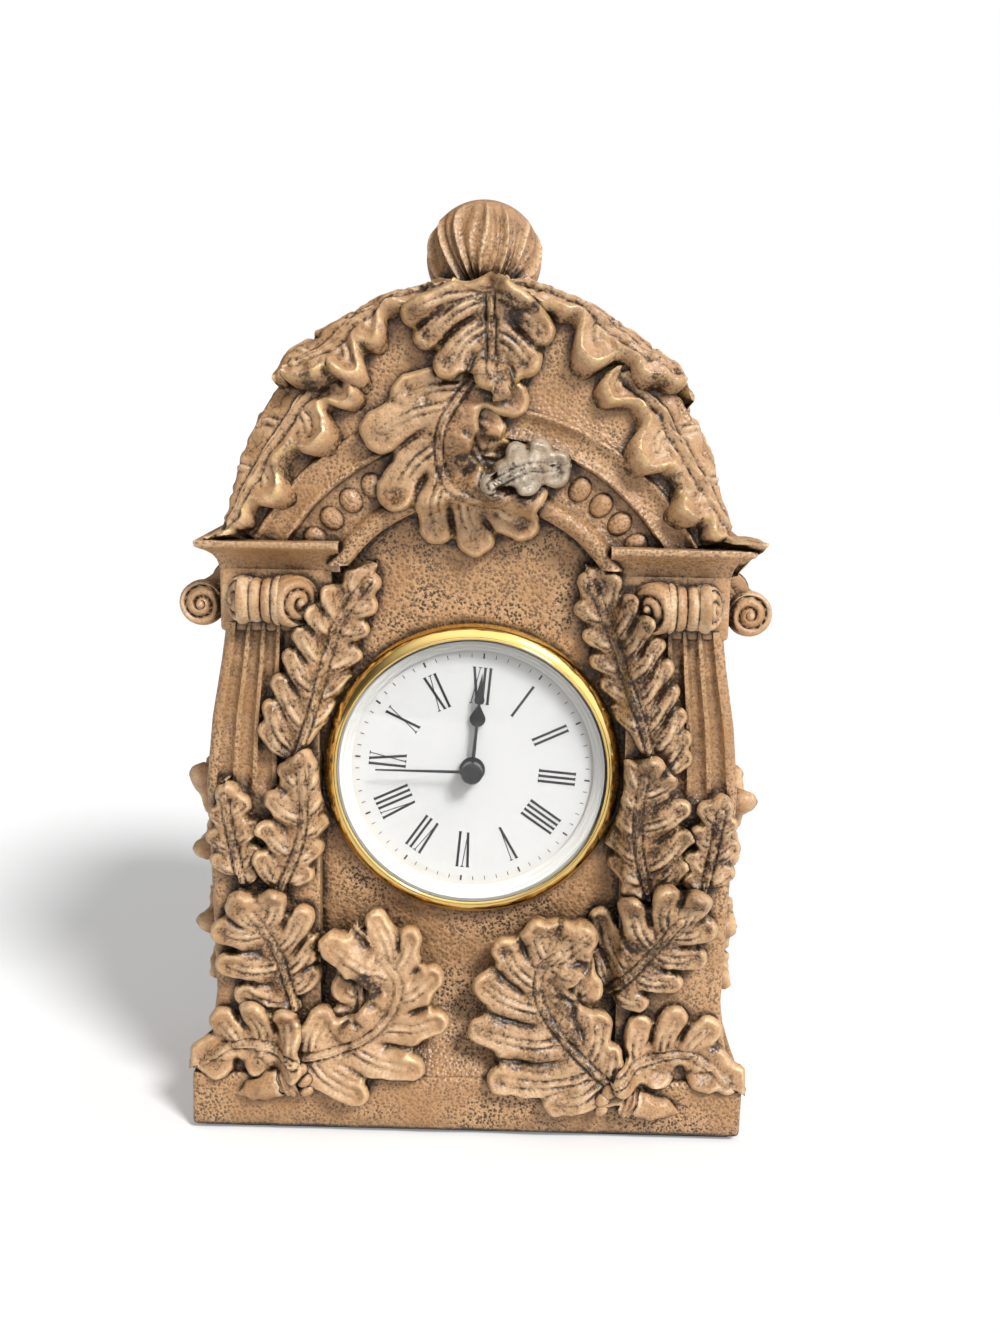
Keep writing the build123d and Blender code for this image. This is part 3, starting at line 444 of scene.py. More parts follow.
def columnSide():
    # right-hand column: flared, fluted above the pedestal
    c, k = case, column
    heights = np.concatenate([np.arange(k["foot"], k["finerFrom"], k["coarseStep"]),
                              np.arange(k["finerFrom"], k["top"], k["fineStep"])])
    levels = np.array(k["levels"])
    corner = k["cornerRound"]
    perFront, perFlank = k["frontFlutes"] * k["perFlute"], k["flankFlutes"] * k["perFlute"]
    rings = []
    for z in heights:
        half = np.interp(z, levels[:, 0], levels[:, 1])
        front = np.interp(z, levels[:, 0], levels[:, 2])
        depth = k["fluteDepth"] * np.clip((z - k["fluteFoot"]) / k["fluteRun"], 0, 1) ** 0.5
        ring = [(c["nicheHalf"], c["backY"], z), (c["nicheHalf"], front + k["innerSetback"], z)]
        start = c["nicheHalf"] + k["innerFlat"]
        for i in range(perFront + 1):
            share = i / perFront
            ring.append((start + share * (half - corner - start),
                         front + depth * fluteHollow(share, k["frontFlutes"]), z))
        for i in range(1, k["cornerSteps"]):
            turn = math.pi / 2 * i / k["cornerSteps"]
            ring.append((half - corner * (1 - math.sin(turn)), front + corner * (1 - math.cos(turn)), z))
        first, last = front + corner + k["flankStart"], c["backY"] - k["flankEnd"]
        for i in range(perFlank + 1):
            share = i / perFlank
            ring.append((half - depth * fluteHollow(share, k["flankFlutes"]), first + share * (last - first), z))
        ring.append((half - k["rearInset"], c["backY"], z))
        rings.append(ring)
    return loft(rings)


# profile is (share of the height, how far it stands out)
cornice = {
    "inner": 31.6, "half": 60.0, "front": -26.5, "foot": 139.0, "top": 147.0,
    "mitre": 0.8, "mitreRound": 0.2, "frontPoints": 12, "flankPoints": 18,
    "profile": ((0.0, -1.5), (0.08, -0.2), (0.2, 0.2), (0.38, 0.6), (0.55, 1.5), (0.68, 2.9), (0.74, 3.9),
                (0.785, 4.6), (0.82, 5.0), (0.85, 5.1), (0.95, 5.2), (0.985, 5.0), (1.0, 4.5)),
}


def corniceSide():
    # moulded ledge on the capital: each level stands out by the profile
    k = cornice
    low, back = k["inner"], case["backY"]
    rings = []
    for share, out in k["profile"]:
        z = k["foot"] + share * (k["top"] - k["foot"])
        high, front = k["half"] + out, k["front"] - out
        ring = [(x, front, z) for x in np.linspace(low, high - k["mitre"], k["frontPoints"])]
        ring.append((high - k["mitreRound"], front + k["mitreRound"], z))
        ring += [(high, y, z) for y in np.linspace(front + k["mitre"], back, k["flankPoints"])]
        rings.append(ring + [(low, back, z)])
    return loft(rings)


# profile is (radius, how far it stands out)
arch = {
    "angle": 63.0, "steps": 150, "backY": -20.0, "foot": 141.5, "arris": 1.0, "arrisRound": 0.3,
    "wander": 0.18, "wanderSize": 9.0,
    "profile": ((35.8, -4.0), (35.8, 0.0), (36.0, 0.9), (36.5, 1.7), (37.3, 2.3), (38.2, 2.5), (39.1, 2.3), (39.8, 1.6),
                (40.2, 0.6), (40.5, -0.4), (41.0, -1.0), (42.0, -1.25), (45.8, -1.3), (49.4, -1.2), (50.2, -1.0),
                (50.5, -0.2), (50.7, 0.9), (51.1, 1.3), (51.7, 1.2), (52.4, 0.5), (53.6, 0.1), (55.0, 0.1),
                (56.2, 0.5), (56.9, 1.2), (57.4, 1.4), (57.9, 1.1), (58.3, 0.2), (59.0, -0.1)),
}


def archFront():
    # archivolt with roll, bead band and cavetto, out to the roof's arris
    c, k = case, arch
    rise = c["springZ"] - c["archZ"]
    widest = math.radians(k["angle"])
    rings = []
    for i in range(k["steps"] + 1):
        share = 2 * i / k["steps"] - 1
        reach = rise * math.cos(widest * share)
        edge = reach + math.sqrt(reach ** 2 + c["roofRadius"] ** 2 - rise ** 2)
        spots = [(r, c["archY"] - out) for r, out in k["profile"]]
        last = spots[-1][0]
        spots += [(last + (edge - k["arris"] - last) * s, c["archY"]) for s in (0.25, 0.5, 0.75, 1.0)]
        spots += [(edge - k["arrisRound"], c["archY"] + k["arrisRound"]), (edge, c["archY"] + k["arris"]),
                  (edge, k["backY"]), (k["profile"][0][0], k["backY"])]
        ring = []
        for r, y in spots:
            # the inner mouldings stop sooner, all at one height
            lean = share * min(widest, math.acos((k["foot"] - c["archZ"]) / r))
            ring.append((r * math.sin(lean), y, c["archZ"] + r * math.cos(lean)))
        rings.append(ring)
    # each end runs straight back into the wall
    first, last = ([(x, k["backY"], z) for x, _, z in ring] for ring in (rings[0], rings[-1]))
    return uneven(loft([first] + rings + [last]), k["wander"], k["wanderSize"])


# rear rows are (y, inset), for a soft back arris
roof = {"frontY": -20.5, "firstRow": -18, "lastRow": 30, "rowStep": 4.0,
        "rear": ((30.2, 0.0), (30.8, 0.3), (31.0, 0.9)),
        "spokes": 72, "skirt": 3, "wander": 0.3, "wanderSize": 12.0}


def vault():
    c, k = case, roof
    rows = [(y, 0.0) for y in (k["frontY"], *np.arange(k["firstRow"], k["lastRow"], k["rowStep"]))]
    rings = []
    for y, inset in rows + list(k["rear"]):
        r = c["roofRadius"] - inset
        ring = []
        for i in range(k["spokes"] + 1):
            turn = math.radians(-90 + 180 * i / k["spokes"])
            ring.append((r * math.sin(turn), y, c["springZ"] + r * math.cos(turn)))
        rings.append(ring + [(r, y, c["springZ"] - k["skirt"]), (-r, y, c["springZ"] - k["skirt"])])
    return uneven(loft(rings), k["wander"], k["wanderSize"])


volute = {"pitch": 2.5, "relief": 1.0, "round": 0.8, "rings": 26, "spokes": 64,
          "eye": 1.1, "eyeDome": 0.9, "eyeProud": 0.5,
          "rimFall": 1.2, "rimFrom": 0.86, "rimSpan": 0.14, "dome": 1.4, "sunk": 2.0}


def voluteDisc(place, axis, radius, thickness, hand):
    # spiral ridge on a round boss, the eye in the middle
    k = volute
    axis = Vector(axis).normalized()
    side = axis.cross(Vector((0, 0, 1))).normalized()
    other = axis.cross(side)
    rings = []
    for i in range(k["rings"] + 1):
        r = radius * i / k["rings"]
        ring = []
        for j in range(k["spokes"]):
            turn = tau * j / k["spokes"]
            phase = (r / k["pitch"] + hand * j / k["spokes"]) % 1.0
            ridge = k["relief"] * math.sin(math.pi * phase) ** k["round"]
            if r < k["eye"]:
                ridge = k["eyeDome"] * math.sqrt(1 - (r / k["eye"]) ** 2) + k["eyeProud"]
            fall = k["rimFall"] * max(0.0, (r / radius - k["rimFrom"]) / k["rimSpan"]) ** 2
            height = thickness + k["dome"] * (1 - r / radius) + ridge - fall
            ring.append(Vector(place) + side * (r * math.cos(turn)) + other * (r * math.sin(turn)) + axis * height)
        rings.append(ring)
    rings[0] = [sum(rings[0], Vector()) / len(rings[0])] * k["spokes"]
    foot = [p - axis * (thickness + k["sunk"]) for p in rings[-1]]
    return loft(rings + [foot])


# rolls are (start, end, radius, waist), volutes are (place, axis, radius, thickness, hand)
scroll = {
    "front": (45.0, 55.0, 6.2, 5.2), "frontPlace": (0, -28.8, 133.0), "frontReeds": 4,
    "flank": (-20.0, 21.0, 5.4, 4.4), "flankPlace": (65.6, 0, 130.5), "flankReeds": 9,
    "reedDepth": 0.8, "reedRound": 0.6, "reedCrowd": 0.85, "rollSteps": 120, "rollSpokes": 64,
    "volutes": (((41.6, -30.2, 133.0), (-0.62, -0.78, 0.0), 6.1, 0.8, 1),
                ((54.6, -28.6, 133.0), (0.82, -0.57, 0.0), 5.4, 0.6, -1),
                ((65.6, -19.8, 130.5), (0, -1, 0), 5.5, 0.5, -1), ((65.6, 20.8, 130.5), (0, 1, 0), 5.5, 0.5, 1)),
    "bell": ((33.4, -26.6, 125.0), (60.0, case["backY"], 140.5)), "bellRound": 1.0,
    "neck": ((57.0, -18.5, 127.0), (64.0, 19.5, 134.5)), "neckRound": 1.2, "boxStep": 4.0,
}


def spool(roll, reeds, place, axis, side):
    # waisted roll with rounded reeds, narrower towards its start
    k = scroll
    start, end, radius, waist = roll
    profile = []
    for i in range(k["rollSteps"] + 1):
        share = i / k["rollSteps"]
        bow = (2 * share - 1) ** 2
        reed = abs(math.sin(math.pi * reeds * share ** k["reedCrowd"])) ** k["reedRound"]
        r = waist + (radius - waist) * bow - k["reedDepth"] * (1 - reed)
        profile.append((r, start + share * (end - start)))
    return lathe([(axisGap, start)] + profile + [(axisGap, end)], place, axis, side, k["rollSpokes"])


def capitalSide():
    k = scroll
    front = spool(k["front"], k["frontReeds"], k["frontPlace"], (1, 0, 0), (0, -1, 0))
    flank = spool(k["flank"], k["flankReeds"], k["flankPlace"], (0, 1, 0), (1, 0, 0))
    inner, outer, eye, rear = (voluteDisc(*row) for row in k["volutes"])
    bell = softBox(*k["bell"], k["bellRound"], k["boxStep"])
    neck = softBox(*k["neck"], k["neckRound"], k["boxStep"])
    return joined(front, inner, outer, flank, eye, rear, bell, neck)


# angles in degrees: spread of one rib, stray of the ribs, fades at the sides and along the ribs
finial = {
    "radius": 13.7, "place": (0.4, -4.0, 212.6), "pole": (0.0, -0.66, -0.75), "rows": 110, "spokes": 240,
    "ribs": 7, "spread": 25.0, "stray": 4.0, "strayPitch": 0.09, "strayTwist": 2.5, "strayStart": 0.6,
    "sideFade": 8.0, "footFade": 20.0, "end": 118, "endFade": 22.0,
    "ridge": 0.5, "ribHalf": 0.16, "hollow": 0.85, "hollowSpan": 0.84, "hollowRound": 0.8,
    "crease": 0.35, "creaseHalf": 0.07,
    "hollowWash": 0.6, "creaseWash": 0.6, "poleWash": [0.5, 0.2], "smooth": 0.6,
}


def ballShape():
    # ball with a shell of flutes fanning up its front from one point, with the depth of wash in each hollow
    k = finial
    pole, across = Vector(k["pole"]).normalized(), Vector((1, 0, 0))
    upward = pole.cross(across).normalized()
    rings, wash, rim = [], [], []
    for i in range(1, k["rows"]):
        polar = math.pi * i / k["rows"]
        degrees = math.degrees(polar)
        along = clamped(degrees / k["footFade"]) * clamped((k["end"] - degrees) / k["endFade"])
        ring = []
        for j in range(k["spokes"]):
            turn = tau * j / k["spokes"]
            lean = math.degrees(math.atan2(math.sin(turn), math.cos(turn)))
            lean += k["stray"] * math.sin(k["strayPitch"] * lean + k["strayTwist"] * polar + k["strayStart"])
            phase = abs((lean / k["spread"]) % 1.0 - 0.5) * 2
            shell = clamped((k["spread"] * k["ribs"] / 2 - abs(lean)) / k["sideFade"]) * along
            rib = math.exp(-((1 - phase) / k["ribHalf"]) ** 2)
            dip = 0.0
            if phase < k["hollowSpan"]:
                dip = math.sin(math.pi * (phase / k["hollowSpan"])) ** k["hollowRound"]
            crease = math.exp(-(phase / k["creaseHalf"]) ** 2)
            r = k["radius"] + shell * (k["ridge"] * rib - k["hollow"] * dip - k["crease"] * crease)
            out = pole * math.cos(polar) + (upward * math.cos(turn) + across * math.sin(turn)) * math.sin(polar)
            ring.append(Vector(k["place"]) + out * r)
            deeper = 0.5 + 0.5 * abs(lean) / 90  # the hollows are darker towards the sides
            wash.append(shell * (k["hollowWash"] * dip * deeper + k["creaseWash"] * crease * (1 - rib)))
            # the ridges get the light worn colour, partly as a painted highlight
            rim.append(shell * rib)
        rings.append(ring)
    marks = {"wash": wash + k["poleWash"], "rim": rim + [0.0, 0.0], "leaf": [k["smooth"]] * (len(wash) + 2)}
    return loft(rings), marks


ballForm, ballMarks = ballShape()
bodyShapes = {
    "plinth": plinth(),
    "wall": wallCore(),
    "columns": bothSides(columnSide()),
    "capitals": bothSides(capitalSide()),
    "cornices": bothSides(corniceSide()),
    "arch": joined(archFront(), vault()),
    "finialBall": ballForm,
}
# how far a moulding is free of the dabbed pits
smoothness = {"capitals": 0.9, "cornices": 0.6, "columns": 0.35, "plinth": 0.0, "wall": 0.0, "arch": 0.25}
for name, shape in bodyShapes.items():
    castPiece(name, shape, resin, ballMarks if name == "finialBall" else {"leaf": [smoothness[name]] * len(shape[0])})
print("case body made:", sum(len(s[0]) for s in bodyShapes.values()), "points")

# beads on the arch, by a node tree that sets an oval on each point


def instanceTree(name, shapeKind, inputs, material):
    # one shape on every point, turned and sized by the point's own attributes
    # inputs are (name, type, the shape's socket)
    tree = bpy.data.node_groups.new(name, "GeometryNodeTree")
    tree.interface.new_socket("Geometry", in_out="INPUT", socket_type="NodeSocketGeometry")
    for label, kind, _ in inputs:
        tree.interface.new_socket(label, in_out="INPUT", socket_type=kind)
    tree.interface.new_socket("Geometry", in_out="OUTPUT", socket_type="NodeSocketGeometry")
    source, sink = tree.nodes.new("NodeGroupInput"), tree.nodes.new("NodeGroupOutput")
    shape = tree.nodes.new(shapeKind)
    for label, _, socket in inputs:
        tree.links.new(source.outputs[label], shape.inputs[socket])
    turn, grow = (addNode(tree, "GeometryNodeInputNamedAttribute", data_type="FLOAT_VECTOR") for _ in range(2))
    feed(tree, turn, Name="turn")
    feed(tree, grow, Name="grow")
    place = tree.nodes.new("GeometryNodeInstanceOnPoints")
    feed(tree, place, Points=source.outputs["Geometry"], Instance=shape.outputs["Mesh"],
         Rotation=turn.outputs["Attribute"], Scale=grow.outputs["Attribute"])
    whole = tree.nodes.new("GeometryNodeRealizeInstances")
    feed(tree, whole, Geometry=place.outputs["Instances"])
    paint = tree.nodes.new("GeometryNodeSetMaterial")
    feed(tree, paint, Geometry=whole.outputs["Geometry"], Material=material)
    feed(tree, sink, Geometry=paint.outputs["Geometry"])
    return tree


def applyTree(piece, tree, values):
    modifier = piece.modifiers.new("build", "NODES")
    modifier.node_group = tree
    for item in tree.interface.items_tree:
        if item.in_out == "INPUT" and item.name in values:
            modifier[item.identifier] = values[item.name]
    bpy.context.view_layer.update()
    evaluated = piece.evaluated_get(bpy.context.evaluated_depsgraph_get())
    mesh = bpy.data.meshes.new_from_object(evaluated)
    piece.modifiers.clear()
    piece.data = mesh
    mesh.shade_smooth()


def pointPiece(name, points, turns, grows):
    mesh = bpy.data.meshes.new(name)
    mesh.from_pydata([Vector(p) * mm for p in points], [], [])
    for key, rows in (("turn", turns), ("grow", grows)):
        layer = mesh.attributes.new(key, "FLOAT_VECTOR", "POINT")
        layer.data.foreach_set("vector", np.array(rows, np.float32).ravel())
    piece = bpy.data.objects.new(name, mesh)
    bpy.context.scene.collection.objects.link(piece)
    return piece


bead = {"track": 45.8, "pitch": 7.7, "first": 24.0, "perSide": 5, "size": (2.7, 2.1, 3.3), "band": 1.3, "sink": 0.5,
        "segments": 28, "rings": 18, "smooth": 0.5}


def addBeads():
    c, k = case, bead
    points, turns, grows = [], [], []
    for side in (-1, 1):
        for i in range(k["perSide"]):
            turn = side * math.radians(k["first"] + i * k["pitch"])
            points.append((k["track"] * math.sin(turn), c["archY"] + k["band"] + k["sink"],
                           c["archZ"] + k["track"] * math.cos(turn)))
            turns.append((0, turn, 0))
            grows.append([s * mm for s in k["size"]])
    piece = pointPiece("archBeads", points, turns, grows)
    inputs = [(label, "NodeSocketInt", label) for label in ("Segments", "Rings")]
    tree = instanceTree("beadRow", "GeometryNodeMeshUVSphere", inputs, resin)
    applyTree(piece, tree, {"Segments": k["segments"], "Rings": k["rings"]})
    layer = piece.data.attributes.new("leaf", "FLOAT", "POINT")
    layer.data.foreach_set("value", np.full(len(piece.data.vertices), k["smooth"], np.float32))
    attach(piece, "case")
    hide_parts("case_casting")
    print("beads made:", len(points))


addBeads()

# oak leaves: a lobed relief grown from a midrib and its side veins, laid on whatever is under it

leafForm = {
    "step": 0.4, "thick": 3.2, "ribHeight": 0.75, "ribHalf": 0.62, "veinHeight": 0.45, "grooveDepth": 0.6,
    "rimHeight": 0.3, "cup": 0.3, "valley": 1.3, "bulge": 1.1, "sink": 1.4, "undercut": 1.0, "bezelClear": 36.5,
    "softness": 8.0, "drape": 7, "waver": 0.9, "ripple": 0.3, "ragged": 0.09, "reach": 68.6, "hollowDarkening": 0.4,
    # skeleton
    "ribSteps": 56, "veinSteps": 18, "veinBend": 0.06, "veinEnd": 0.85, "firstVein": 0.02, "margin": 2.0,
    # outline
    "leastCore": 1.3, "stemWidth": 0.35, "stemRun": 0.15, "flareRun": 1.25, "trimRun": 3.0, "feltClear": 0.6,
    "raggedSize": 2.6, "raggedSeed": 3.7,
    # carving
    "dropRun": 5.0, "riseRun": 12, "liftRun": 1.25, "veinFrom": 1.1, "veinFade": 0.9, "veinThin": 0.6, "veinHalf": 0.4,
    "grooveAt": 0.95, "valleyHalf": 1.5, "valleyFrom": 2.2, "valleyRun": 2.5, "valleyStem": 0.08, "valleyStemRun": 0.2,
    "edgeRound": 1.7, "rimAt": 0.75, "rimHalf": 0.45, "cupFrom": 1.2, "cupRun": 2.0,
    "hollowFrom": 1.0, "hollowRun": 2.0,
    "waverSize": 5.0, "rippleSize": 1.9, "undercutFrom": 0.6, "giltAt": 0.6, "giltHalf": 0.3, "underWash": 0.9,
    # ground
    "castFrom": 120.0, "spread": 4, "slack": 0.4,
}
leafDefaults = {
    "y": case["archY"], "core": 0.6, "lean": 0.5, "lift": (0, 0), "flare": (0.55, 1.0),
    "outerDrop": 0.0, "innerRise": 0.0,
    "bezel": False, "base": False, "floor": -40.0, "gilt": 0.4, "stain": 0.1, "form": {},
}


def smoothLine(points, count):
    pts = np.array(points, float)
    ends = np.vstack([2 * pts[0] - pts[1], pts, 2 * pts[-1] - pts[-2]])
    t = np.linspace(0, len(pts) - 1, count)
    k = np.minimum(t.astype(int), len(pts) - 2)
    f = (t - k)[:, None]
    p0, p1, p2, p3 = ends[k], ends[k + 1], ends[k + 2], ends[k + 3]
    bend = (2 * p0 - 5 * p1 + 4 * p2 - p3) * f ** 2
    return 0.5 * (2 * p1 + (p2 - p0) * f + bend + (3 * p1 - p0 - 3 * p2 + p3) * f ** 3)


def lineDistance(points, line):
    # distance to the line, share of the way along it, and the hand on which each point lies
    start = line[:-1]
    run = line[1:] - start
    away = points[:, None, :] - start[None]
    share = np.clip((away * run).sum(-1) / (run * run).sum(-1), 0, 1)
    gap = np.hypot(away[..., 0] - share * run[:, 0], away[..., 1] - share * run[:, 1])
    best = gap.argmin(1)
    rows = np.arange(len(points))
    hand = run[best, 0] * away[rows, best, 1] - run[best, 1] * away[rows, best, 0]
    return gap[rows, best], (best + share[rows, best]) / len(start), np.sign(hand)


# a leaf's plane is its origin, its two axes and the way that it faces


def frontPlane():
    return Vector((0, 0, 0)), Vector((1, 0, 0)), Vector((0, 0, 1)), Vector((0, -1, 0))


def flankPlane(side):
    return Vector((0, 0, 0)), Vector((0, side, 0)), Vector((0, 0, 1)), Vector((side, 0, 0))


def roofPlane(stem, tip):
    # square across the roof's front arris
    run = Vector((tip[0] - stem[0], 0, tip[1] - stem[1])).normalized()
    middle = Vector(((stem[0] + tip[0]) / 2, 0, (stem[1] + tip[1]) / 2 - case["springZ"]))
    out = (middle - run * middle.dot(run)).normalized()
    facing = (out + Vector((0, -1, 0))).normalized()
    return Vector((stem[0], case["archY"], stem[1])), run, facing.cross(run), facing


def onPlane(plane, spots, y):
    # (x, z) or (x, y, z) places as coordinates in the leaf's plane
    origin, u, v, _ = plane
    flat = []
    for spot in spots:
        p = Vector((spot[0], y, spot[1])) if len(spot) == 2 else Vector(spot)
        flat.append(((p - origin).dot(u), (p - origin).dot(v)))
    return flat


def inSpace(plane, flat, heights):
    origin, u, v, facing = (np.array(part)[None] for part in plane)
    return origin + flat[:, :1] * u + flat[:, 1:] * v + heights[:, None] * facing


def blurred(field, known, passes):
    # spreads and smooths the ground's height over the leaf
    values = np.where(known, field, 0.0)
    weight = known.astype(float)
    for _ in range(passes):
        total, share = values.copy(), weight.copy()
        for axis in (0, 1):
            for shift in (-1, 1):
                total += np.roll(values, shift, axis)
                share += np.roll(weight, shift, axis)
        values, weight = total / 5, share / 5
    return values / np.maximum(weight, 1e-6)


def bell(distance, half, power=2):
    return np.exp(-(distance / half) ** power)


def ramp(value, start, run):
    return np.clip((value - start) / run, 0, 1)


def leafSkeleton(spec, form):
    # midrib, side veins as (line, radius, lift), and the blade's reach along the midrib on each hand
    plane, level = spec["plane"], spec["y"]
    rib = smoothLine(onPlane(plane, spec["rib"], level), form["ribSteps"])
    ribLength = np.hypot(*np.diff(rib, axis=0).T).sum()
    veins = []
    reaches = {-1: [(0.0, 1.0)], 1: [(0.0, 1.0)]}
    for spot, radius, *lift in spec["lobes"]:
        tip = np.array(onPlane(plane, [spot], level)[0])
        gap, share, hand = (values[0] for values in lineDistance(tip[None], rib))
        rootShare = max(form["firstVein"], share - spec["lean"] * gap / ribLength)
        root = rib[min(len(rib) - 1, int(rootShare * (len(rib) - 1)))]
        run = tip - root
        end = tip - run / np.hypot(*run) * radius * form["veinEnd"]
        bend = (root + end) / 2 + np.array((-run[1], run[0])) * form["veinBend"] * hand
        veins.append((smoothLine([root, bend, end], form["veinSteps"]), radius, lift[0] if lift else 0.0))
        reaches[int(hand) or 1].append((share, gap))
    return rib, veins, {hand: np.array(sorted(rows)) for hand, rows in reaches.items()}


def leafFields(spec, form, skeleton, points):
    # edge is below 1 inside the outline; the others say where the carving rises and falls
    rib, sideVeins, reaches = skeleton
    ribGap, ribShare, hand = lineDistance(points, rib)
    blade = np.where(hand > 0, np.interp(ribShare, *reaches[1].T), np.interp(ribShare, *reaches[-1].T))
    # the half that lies towards the back may be fuller and lower than the front half
    outer = hand * np.sign(spec["plane"][2].y) > 0
    core = np.maximum(form["leastCore"], blade * np.where(outer, spec.get("outerCore", spec["core"]), spec["core"]))
    core = core * (form["stemWidth"] + (1 - form["stemWidth"]) * ramp(ribShare, 0, form["stemRun"]))
    near, lanes = [ribGap / core], []
    veins, grooves, bulges = (np.zeros(len(points)) for _ in range(3))
    lifts = np.where(outer, -spec["outerDrop"] * ramp(ribGap, 0, form["dropRun"]),
                     spec["innerRise"] * np.clip(ribGap, 0, form["riseRun"]))
    clear = ramp(ribGap, form["veinFrom"], form["veinFade"])
    first, last = spec["flare"]
    for line, radius, lift in sideVeins:
        gap, share, _ = lineDistance(points, line)
        opened = np.sin(np.pi / 2 * np.clip(share * form["flareRun"], 0, 1))
        near.append(gap / (radius * (first + (last - first) * opened)))
        fade = (1 - form["veinThin"] * share) * clear
        veins = np.maximum(veins, bell(gap, form["veinHalf"]) * fade)
        grooves = np.maximum(grooves, bell(gap - form["grooveAt"], form["veinHalf"]) * fade)
        lifts += lift * np.clip(form["liftRun"] - near[-1], 0, 1) * share ** 2
        bulges = np.maximum(bulges, np.clip(1 - near[-1] ** 2, 0, 1) * np.sin(np.pi * np.clip(share, 0, 1)))
        lanes.append(gap)
    edge = -np.log(np.exp(-np.array(near) * form["softness"]).sum(0)) / form["softness"]
    lanes = np.sort(np.array(lanes), axis=0)
    valley = bell(lanes[1] - lanes[0], form["valleyHalf"]) * ramp(ribGap, form["valleyFrom"], form["valleyRun"])
    valley = valley * ramp(ribShare, form["valleyStem"], form["valleyStemRun"])
    # the outline is kept off the bezel, above the felt and, at the base, within the plinth's width
    world = inSpace(spec["plane"], points, np.zeros(len(points)))
    if spec["bezel"]:
        away = np.hypot(world[:, 0], world[:, 2] - case["dialZ"])
        edge = np.maximum(edge, 1 + (form["bezelClear"] - away) / form["trimRun"])
    edge = edge + [form["ragged"] * noise.noise(Vector((u, v, form["raggedSeed"])) / form["raggedSize"])
                   for u, v in points]
    edge = np.maximum(edge, 1 + (case["felt"] + form["feltClear"] - world[:, 2]) / form["trimRun"])
    if spec["base"]:
        edge = np.maximum(edge, 1 + (np.abs(world[:, 0]) - form["reach"]) / form["trimRun"])
    return edge, ribGap, ribShare, veins, grooves, lifts, bulges, valley


def groundUnder(spec, form, ground, used, placeU, placeV):
    # height of what lies under the leaf, smoothed so that the leaf drapes over it
    origin, uAxis, vAxis, facing = spec["plane"]
    height, known = np.zeros(used.shape), np.zeros_like(used)
    far = form["castFrom"]
    for i, j in zip(*np.nonzero(used)):
        start = origin + uAxis * placeU[i, j] + vAxis * placeV[i, j]
        hit = ground.ray_cast(start + facing * far, -facing, 2 * far)[0]
        if hit is not None and (hit - start).dot(facing) > spec["floor"]:
            height[i, j] = (hit - start).dot(facing)
            known[i, j] = True
    soft = blurred(height, known, form["drape"] * form["spread"])
    base = np.where(known, np.maximum(soft, height - form["slack"]), soft)
    base = blurred(base, used, form["drape"])
    if "bed" in spec:
        base = np.maximum(base, np.interp(origin.z + placeV * vAxis.z, *np.array(spec["bed"]).T))
    return base


def leafCarving(spec, form, fields, inset, spots):
    # height of the leaf's face over its ground, and how it is washed, lightened at rims and ridges (wear, partly a
    # painted highlight) and gilt
    _, ribGap, ribShare, veins, grooves, lifts, bulges, valley = fields
    rise = form["thick"] * (1 - 0.5 * (1 - ramp(inset, 0, form["edgeRound"])) ** 2)
    lip = bell(inset - form["rimAt"], form["rimHalf"])
    rise += (form["rimHeight"] * lip - form["cup"] * ramp(inset, form["cupFrom"], form["cupRun"])
             + form["bulge"] * bulges)
    rise += form["veinHeight"] * veins - form["grooveDepth"] * grooves - form["valley"] * valley
    # midrib: a flat ridge with a line along it and a groove on either side
    ridge = bell(ribGap, form["ribHalf"], 4) * (1 - 0.5 * ribShare)
    beside = bell(ribGap - 1.75 * form["ribHalf"], 0.55 * form["ribHalf"]) * (1 - 0.4 * ribShare)
    line = bell(ribGap, 0.28 * form["ribHalf"])
    rise += form["ribHeight"] * ridge - 0.8 * form["grooveDepth"] * beside - 0.35 * line * ridge
    rise += lifts + np.interp(ribShare, np.linspace(0, 1, len(spec["lift"])), spec["lift"])
    stemX, stemNext = spec["rib"][0][:2]
    rise += [form["waver"] * noise.noise(Vector((u, v, stemX)) / form["waverSize"])
             + form["ripple"] * noise.noise(Vector((u, v, stemNext)) / form["rippleSize"]) for u, v in spots]
    hollow = ramp(inset, form["hollowFrom"], form["hollowRun"]) * (1 - bulges)
    wash = np.maximum.reduce([0.75 * grooves, 0.9 * beside, 0.6 * line * ridge, 0.9 * valley, form["hollowDarkening"] * hollow])
    # rims, veins, the midrib and the tops of the lobes get the light worn colour, partly as a painted highlight
    rim = np.clip(0.8 * lip + 0.5 * bulges + 0.5 * veins + 0.6 * ridge * (1 - line), 0, 1)
    gilt = bell(inset - form["giltAt"], form["giltHalf"]) * spec["gilt"]
    return rise, np.clip(wash + spec["stain"], 0, 1), rim, gilt


def leafFaces(cells, used):
    # upper and lower skin over the cells, closed along the outline
    count = int(used.sum())
    ids = -np.ones(used.shape, int)
    ids[used] = np.arange(count)
    quads = [[int(ids[spot]) for spot in ((i, j), (i + 1, j), (i + 1, j + 1), (i, j + 1))]
             for i, j in zip(*np.nonzero(cells))]
    uses = dict.fromkeys((a, b) for quad in quads for a, b in zip(quad, quad[1:] + quad[:1]))
    sides = [[b, a, a + count, b + count] for a, b in uses if (b, a) not in uses]
    return quads + [[q + count for q in quad[::-1]] for quad in quads] + sides


